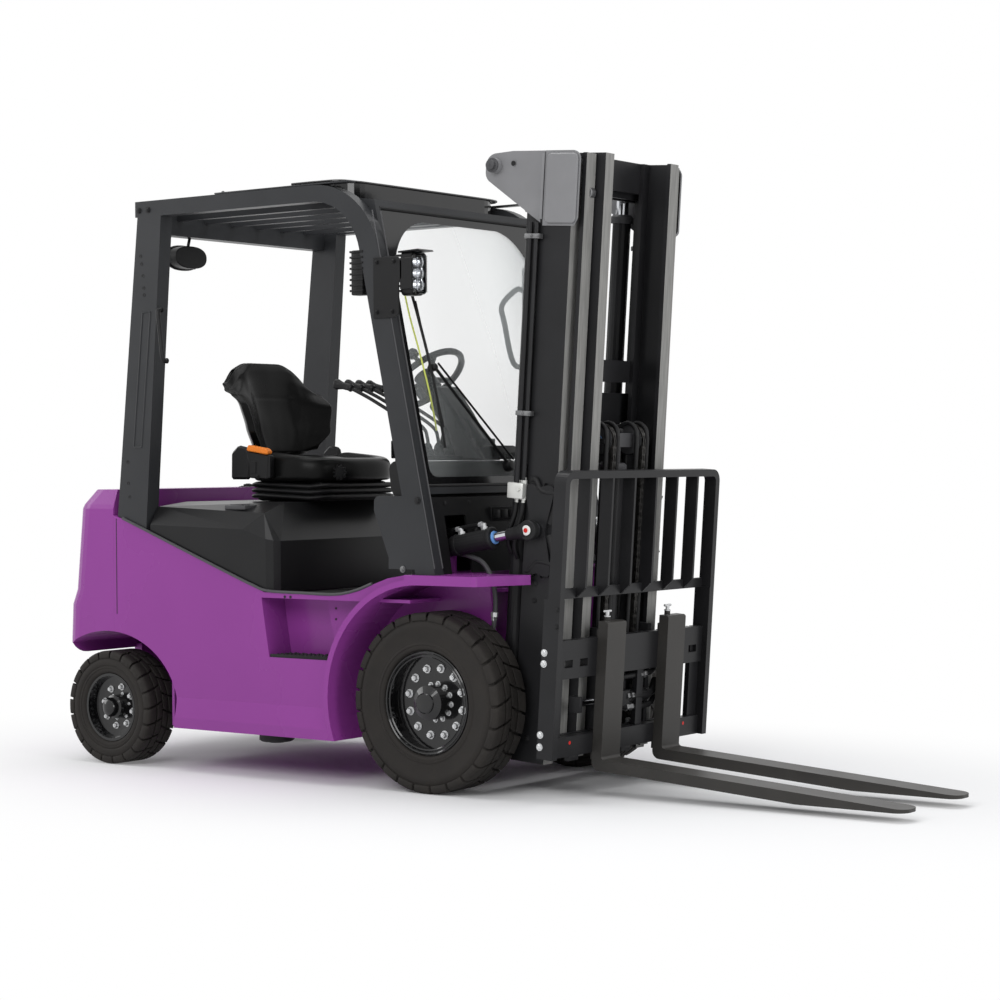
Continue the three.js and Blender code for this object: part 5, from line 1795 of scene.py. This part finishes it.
def link(p, q, y, wide, plates=3):
    """One link from pin p to pin q, both (x, z), with its plates spread about y."""
    a, b = Vector((p[0], y, p[1])), Vector((q[0], y, q[1]))
    way = (b - a).normalized()
    across = way.cross(Vector((0, 1, 0)))
    outline = []
    for end, start in ((b, -90), (a, 90)):
        for k in range(5):
            w = math.radians(start + 45 * k)
            outline.append(end + way * (9 * math.cos(w)) + across * (9 * math.sin(w)))
    parts = []
    for k in range(plates):
        t = y + wide * (2 * k / (plates - 1) - 1)
        b2 = bmesh.new()
        ends = [[b2.verts.new((s.x, t + h, s.z)) for s in outline] for h in (-1.5, 1.5)]
        b2.faces.new(ends[0])
        b2.faces.new(ends[1][::-1])
        for i in range(len(outline)):
            j = (i + 1) % len(outline)
            b2.faces.new((ends[0][i], ends[1][i], ends[1][j], ends[0][j]))
        bmesh.ops.recalc_face_normals(b2, faces=b2.faces)
        parts.append(b2)
    parts.append(
        turned(
            [(0, 0), (4.5, 0), (4.5, 2 * wide + 7), (0, 2 * wide + 7)],
            (a.x, y - wide - 3.5, a.z),
            (0, 1, 0),
            8,
        )
    )
    return parts


def chain(points, y):
    parts = []
    for i, (p, q) in enumerate(zip(points, points[1:])):
        parts.append(link(p, q, y, 8 if i % 2 else 5, 3 if i % 2 else 2))
    return parts


def straight(x, z0, z1):
    count = max(2, round(abs(z1 - z0) / PITCH))
    return [(x, z0 + (z1 - z0) * k / count) for k in range(count + 1)]


def over_sheave():
    cx, cz, r = SHEAVE
    return [
        (cx + (r + 7) * math.cos(math.radians(w)), cz + (r + 7) * math.sin(math.radians(w)))
        for w in range(0, 181, 24)
    ]


def strand_ends(y):
    rod = [
        bar((455, y, 205), (455, y, 262), 7, 12),
        turned([(0, 0), (13, 0), (13, 9), (0, 9)], (455, y, 226), (0, 0, 1), 6),
    ]
    return [rod, block(445, 465, y - 14, y + 14, 240, 268, 3)]


SHEAVES = (("right", -95), ("left", 95))
for side, y in SHEAVES:
    cx, cz, r = SHEAVE
    front = make(f"chain_front_{side}", chain(straight(cx + r + 7, cz, 256), y), chain_steel, None, on_mast)
    anchor = on_mast(cx, y, cz)
    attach(front, "free_lift_rod")
    tuple(anchor - on_mast(cx, y, cz - 1000))
    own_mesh(front)
    make(f"chain_top_{side}", chain(over_sheave(), y), chain_steel, "free_lift_rod", on_mast)
    make(
        f"chain_rear_{side}", chain(straight(cx - r - 7, cz, 420), y), chain_steel, "free_lift_rod", on_mast
    )
    make(f"chain_end_{side}", strand_ends(y), zinc, "lift_carriage", on_mast)
    disc = [
        (0, 0),
        (54, 0),
        (56, 2),
        (44, 6),
        (44, 26),
        (56, 30),
        (54, 32),
        (36, 32),
        (32, 28),
        (18, 28),
        (0, 28),
    ]
    make(
        f"sheave_{side}",
        [turned(disc, (cx, y - 16, cz), (0, 1, 0), 40)],
        mast_coat,
        "free_lift_rod",
        on_mast,
    )
    way = -1 if y < 0 else 1
    hub = [turned([(0, 0), (15, 0), (15, 4), (10, 6), (0, 6)], (cx, y + way * 15, cz), (0, way, 0), 28)]
    make(f"sheave_hub_{side}", hub, blue_seal, "free_lift_rod", on_mast)
print("chains over two sheaves")

# %% Hoses beside the chains
for number, (y, x) in enumerate(((-130, 440), (-62, 442), (62, 442), (130, 440))):
    front = make(
        f"lift_hose_{number}",
        [hose([(x, y, 1290), (x, y, 800), (x, y, 300)], 9, 12, 2)],
        hose_rubber,
        None,
        on_mast,
    )
    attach(front, "free_lift_rod")
    tuple(on_mast(x, y, 1290) - on_mast(x, y, 290))
    tuple(on_mast(x, y, 1290))
    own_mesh(front)
    arc = [
        (x, y, 1285),
        (x - 8, y, 1318),
        (x - 40, y, 1336),
        (x - 76, y, 1318),
        (x - 86, y, 1280),
        (x - 86, y, 800),
        (x - 86, y, 420),
    ]
    make(f"lift_hose_rear_{number}", [hose(arc, 9, 12, 5)], hose_rubber, "free_lift_rod", on_mast)
guide = [
    block(360, 440, -142, -118, 1262, 1280, 4),
    block(360, 440, 118, 142, 1262, 1280, 4),
    bolt((384, -40, 1305), (0, 0, 1), 12, 9),
    bolt((384, 40, 1305), (0, 0, 1), 12, 9),
]
make("hose_guide", guide, mast_coat, "free_lift_rod", on_mast)
gland = [
    turned(
        [(27.6, 0), (50, 0), (52, 4), (52, 26), (44, 34), (27.6, 34)],
        (384, 0, 1158),
        (0, 0, 1),
        36,
        closed=True,
    )
]
make("free_lift_gland", gland, grey_coat, "inner_mast", on_mast)
print("hoses, guide and gland")

# %% Lift cylinder heads
def lift_gland():
    return [
        turned(
            [(24.6, 0), (40, 0), (42, 4), (42, 24), (34, 32), (24.6, 32)],
            (188, -272, 2068),
            (0, 0, 1),
            32,
            closed=True,
        )
    ]


def lift_base():
    return [
        turned([(34.2, 0), (42, 0), (42, 30), (34.2, 34)], (188, -272, 152), (0, 0, 1), 32, closed=True),
        turned([(0, 0), (11, 0), (11, 18), (8, 18), (8, 34), (0, 34)], (188, -300, 190), (0, -1, 0.3), 6),
    ]


both("lift_gland", lift_gland, grey_coat, "outer_mast", MAST_SIDES)
both("lift_base", lift_base, axle_coat, "outer_mast", MAST_SIDES)
print("lift cylinder heads and bases")

# %% [markdown]
# ## Tilt cylinders
#
# Each has a gland with a blue seal, two ports with elbows and hoses, and pins held by plates. A place
# on the cylinder is given by how far along it lies and how far above its line.

# %% Tilt cylinder details
START, FINISH = Vector((-40, -362, 866)), Vector((340, -362, 935))
ALONG = (FINISH - START).normalized()
ABOVE = Vector((-ALONG.z, 0, ALONG.x))


def on_tilt(d, up=0.0, out=0.0):
    return tuple(START + ALONG * d + ABOVE * up + Vector((0, -out, 0)))


def tilt_gland():
    return [
        turned(
            [(17.6, 0), (40, 0), (41, 3), (41, 15), (36, 19), (17.6, 19)],
            on_tilt(206),
            ALONG,
            32,
            closed=True,
        ),
        turned([(37.2, 0), (40.5, 1), (40.5, 9), (37.2, 10)], on_tilt(60), ALONG, 32, closed=True),
    ]


def tilt_seal():
    return [turned([(17.4, 0), (23, 0), (24, 2), (22, 7), (17.4, 8)], on_tilt(225), ALONG, 32, closed=True)]


def tilt_clevis():
    """The forged end of the rod: a neck that widens into an eye round the mast pin."""
    neck = [(17.2, 0), (21, 2), (23, 24), (24, 46), (31, 66), (31, 88), (17.2, 88)]
    eye = turned([(0, 0), (33, 0), (36, 3), (36, 25), (33, 28), (0, 28)], (340, -357, 935), (0, -1, 0), 36)
    return [turned(neck, on_tilt(286), ALONG, 28, closed=True), eye]


def tilt_ports():
    parts = []
    for d in (84, 188):
        parts.append(
            turned([(0, 0), (12, 0), (12, 12), (8, 12), (8, 24), (0, 24)], on_tilt(d, 34), ABOVE, 6)
        )
        parts.append(turned([(0, 0), (10, 0), (10, 16), (0, 16)], on_tilt(d - 4, 56), tuple(-ALONG), 6))
    return parts


def tilt_hoses():
    parts = []
    for d, drop in ((84, 14), (188, 0)):
        parts.append(
            hose(
                [
                    on_tilt(d - 16, 56),
                    on_tilt(d - 36, 57),
                    on_tilt(36, 60 - drop, -6),
                    on_tilt(10, 58 - drop, -14),
                ],
                7.5,
                12,
                6,
            )
        )
    return parts


def pin_marker():
    return [turned([(0, 0), (17, 0), (18, 3), (15, 5), (0, 5)], (340, -386.2, 935), (0, -1, 0), 32)]


def pin_dot():
    return [turned([(0, 0), (8, 0), (8, 7.5), (6, 9), (0, 9)], (340, -386.2, 935), (0, -1, 0), 24)]


def frame_pin():
    plate_outline = [(-60, 846), (-20, 846), (-20, 886), (-60, 886)]
    return [plate(plate_outline, "xz", -416, -409, 1), bolt((-50, -416, 878), (0, -1, 0), 6, 5)]


for side, place in SIDES:
    barrel, rod = f"tilt_barrel_{side}_body", f"tilt_rod_{side}_body"
    make(f"tilt_gland_{side}", tilt_gland(), axle_coat, barrel, place)
    make(f"tilt_seal_{side}", tilt_seal(), blue_seal, barrel, place)
    make(f"tilt_clevis_{side}", tilt_clevis(), axle_coat, rod, place)
    make(f"tilt_ports_{side}", tilt_ports(), zinc, barrel, place)
    make(f"tilt_hoses_{side}", tilt_hoses(), hose_rubber, barrel, place)
    make(f"pin_marker_{side}", pin_marker(), white_mark, "outer_mast", place)
    make(f"pin_dot_{side}", pin_dot(), red_plastic, "outer_mast", place)
    make(f"frame_pin_plate_{side}", frame_pin(), zinc, "chassis", place)
print("tilt cylinders")

# %% Braided hose beside the axle
def braid():
    line = [
        (20, -345, 845),
        (60, -348, 838),
        (120, -348, 815),
        (158, -347, 760),
        (172, -346, 690),
        (166, -344, 610),
        (150, -342, 540),
    ]
    return [hose(line, 9, 12, 14, 0.1)]


def braid_ends():
    return [
        turned(
            [(0, 0), (13, 0), (13, 16), (10, 16), (10, 30), (0, 30)], (167, -344, 640), (-0.08, 0, -1), 6
        )
    ]


both("braided_hose", braid, grey_coat, "chassis")
both("braid_end", braid_ends, zinc, "chassis")
print("braided hoses")
# %% [markdown]
# ## Carriage and forks
#
# Behind the forks a small cylinder shifts the load sideways, fed by two looping hoses with plated
# ends. Pins with T-shaped handles lock the forks, and four bolts hold each side plate.

# %% Side-shift cylinder and its hoses
shift_barrel = [
    bar((468, -150, 350), (468, 150, 350), 25, 32),
    turned([(0, 0), (30, 0), (30, 14), (0, 14)], (468, -158, 350), (0, 1, 0), 6),
    turned([(0, 0), (30, 0), (30, 14), (0, 14)], (468, 144, 350), (0, 1, 0), 6),
    block(440, 496, -24, 24, 322, 378, 4),
]
make("shift_barrel", shift_barrel, axle_coat, "lift_carriage", on_mast)
shift_rod = [bar((468, -290, 350), (468, 290, 350), 13, 24)]
make("shift_rod", shift_rod, chrome, "shifter", on_mast)
ends = [block(454, 500, y - 10, y + 10, 322, 378, 4) for y in (-292, 292)]
make("shift_rod_ends", ends, mast_coat, "shifter", on_mast)
loops = [
    hose(
        [
            (470, -20, 420),
            (480, 10, 426),
            (484, 60, 428),
            (484, 120, 429),
            (480, 190, 436),
            (470, 212, 470),
        ],
        11,
        12,
        7,
    ),
    hose(
        [
            (472, -10, 350),
            (484, 12, 358),
            (488, 60, 354),
            (488, 120, 352),
            (486, 180, 360),
            (476, 218, 400),
        ],
        14,
        14,
        7,
        0.06,
    ),
    hose(
        [
            (472, -10, 312),
            (484, 12, 318),
            (488, 60, 314),
            (488, 120, 312),
            (486, 180, 318),
            (476, 218, 350),
        ],
        11,
        14,
        9,
        0.14,
    ),
]
make("shift_hoses", loops, hose_rubber, "lift_carriage", on_mast)
nipple = [(0, 0), (15, 0), (15, 12), (12, 14), (12, 30), (14.5, 32), (14.5, 42), (0, 42)]
fittings = []
for y, z in ((86, 429), (6, 356), (4, 316)):
    fittings.append(turned(nipple, (488, y, z), (0, 1, 0), 6))
fittings.append(
    turned([(0, 0), (8, 0), (8, 26), (11, 26), (11, 36), (0, 36)], (486, 108, 400), (0, 0, 1), 6)
)
make("shift_fittings", fittings, steel_grey, "lift_carriage", on_mast)
print("side-shift cylinder and hoses")

# %% Fork pins, side plate bolts and carriage bolts
for side, y in (("right", -168), ("left", 226)):
    pin = [
        bar((508, y, 600), (508, y, 676), 7, 16),
        bar((508, y - 21, 676), (508, y + 21, 676), 4.5, 14),
        turned([(0, 0), (12, 0), (12, 4), (0, 4)], (508, y, 656), (0, 0, 1), 20),
    ]
    make(f"fork_pin_{side}", pin, zinc, f"{side}_fork", on_mast)


def side_bolts():
    return [bolt((480, -502, z), (0, -1, 0), 9.5, 8) for z in (547, 509, 263, 221)]


def back_bolts():
    return [bolt((524, -502, z), (0, -1, 0), 7, 5) for z in (700, 640)]


both("side_plate_bolts", side_bolts, zinc, "shifter", MAST_SIDES)
both("back_bolts", back_bolts, axle_coat, "shifter", MAST_SIDES)
dots = [
    turned([(0, 0), (6.5, 0), (6.5, 0.25), (0, 0.25)], (512, y, 227), (1, 0, 0), 18) for y in (-368, 371)
]
make("grease_caps", dots, red_plastic, "shifter", on_mast)
lower = [block(486, 506, y - 30, y + 30, 160, 178, 3) for y in (-330, 0, 330)]
make("lower_hooks", lower, mast_coat, "shifter", on_mast)
print("fork pins, bolts and caps")
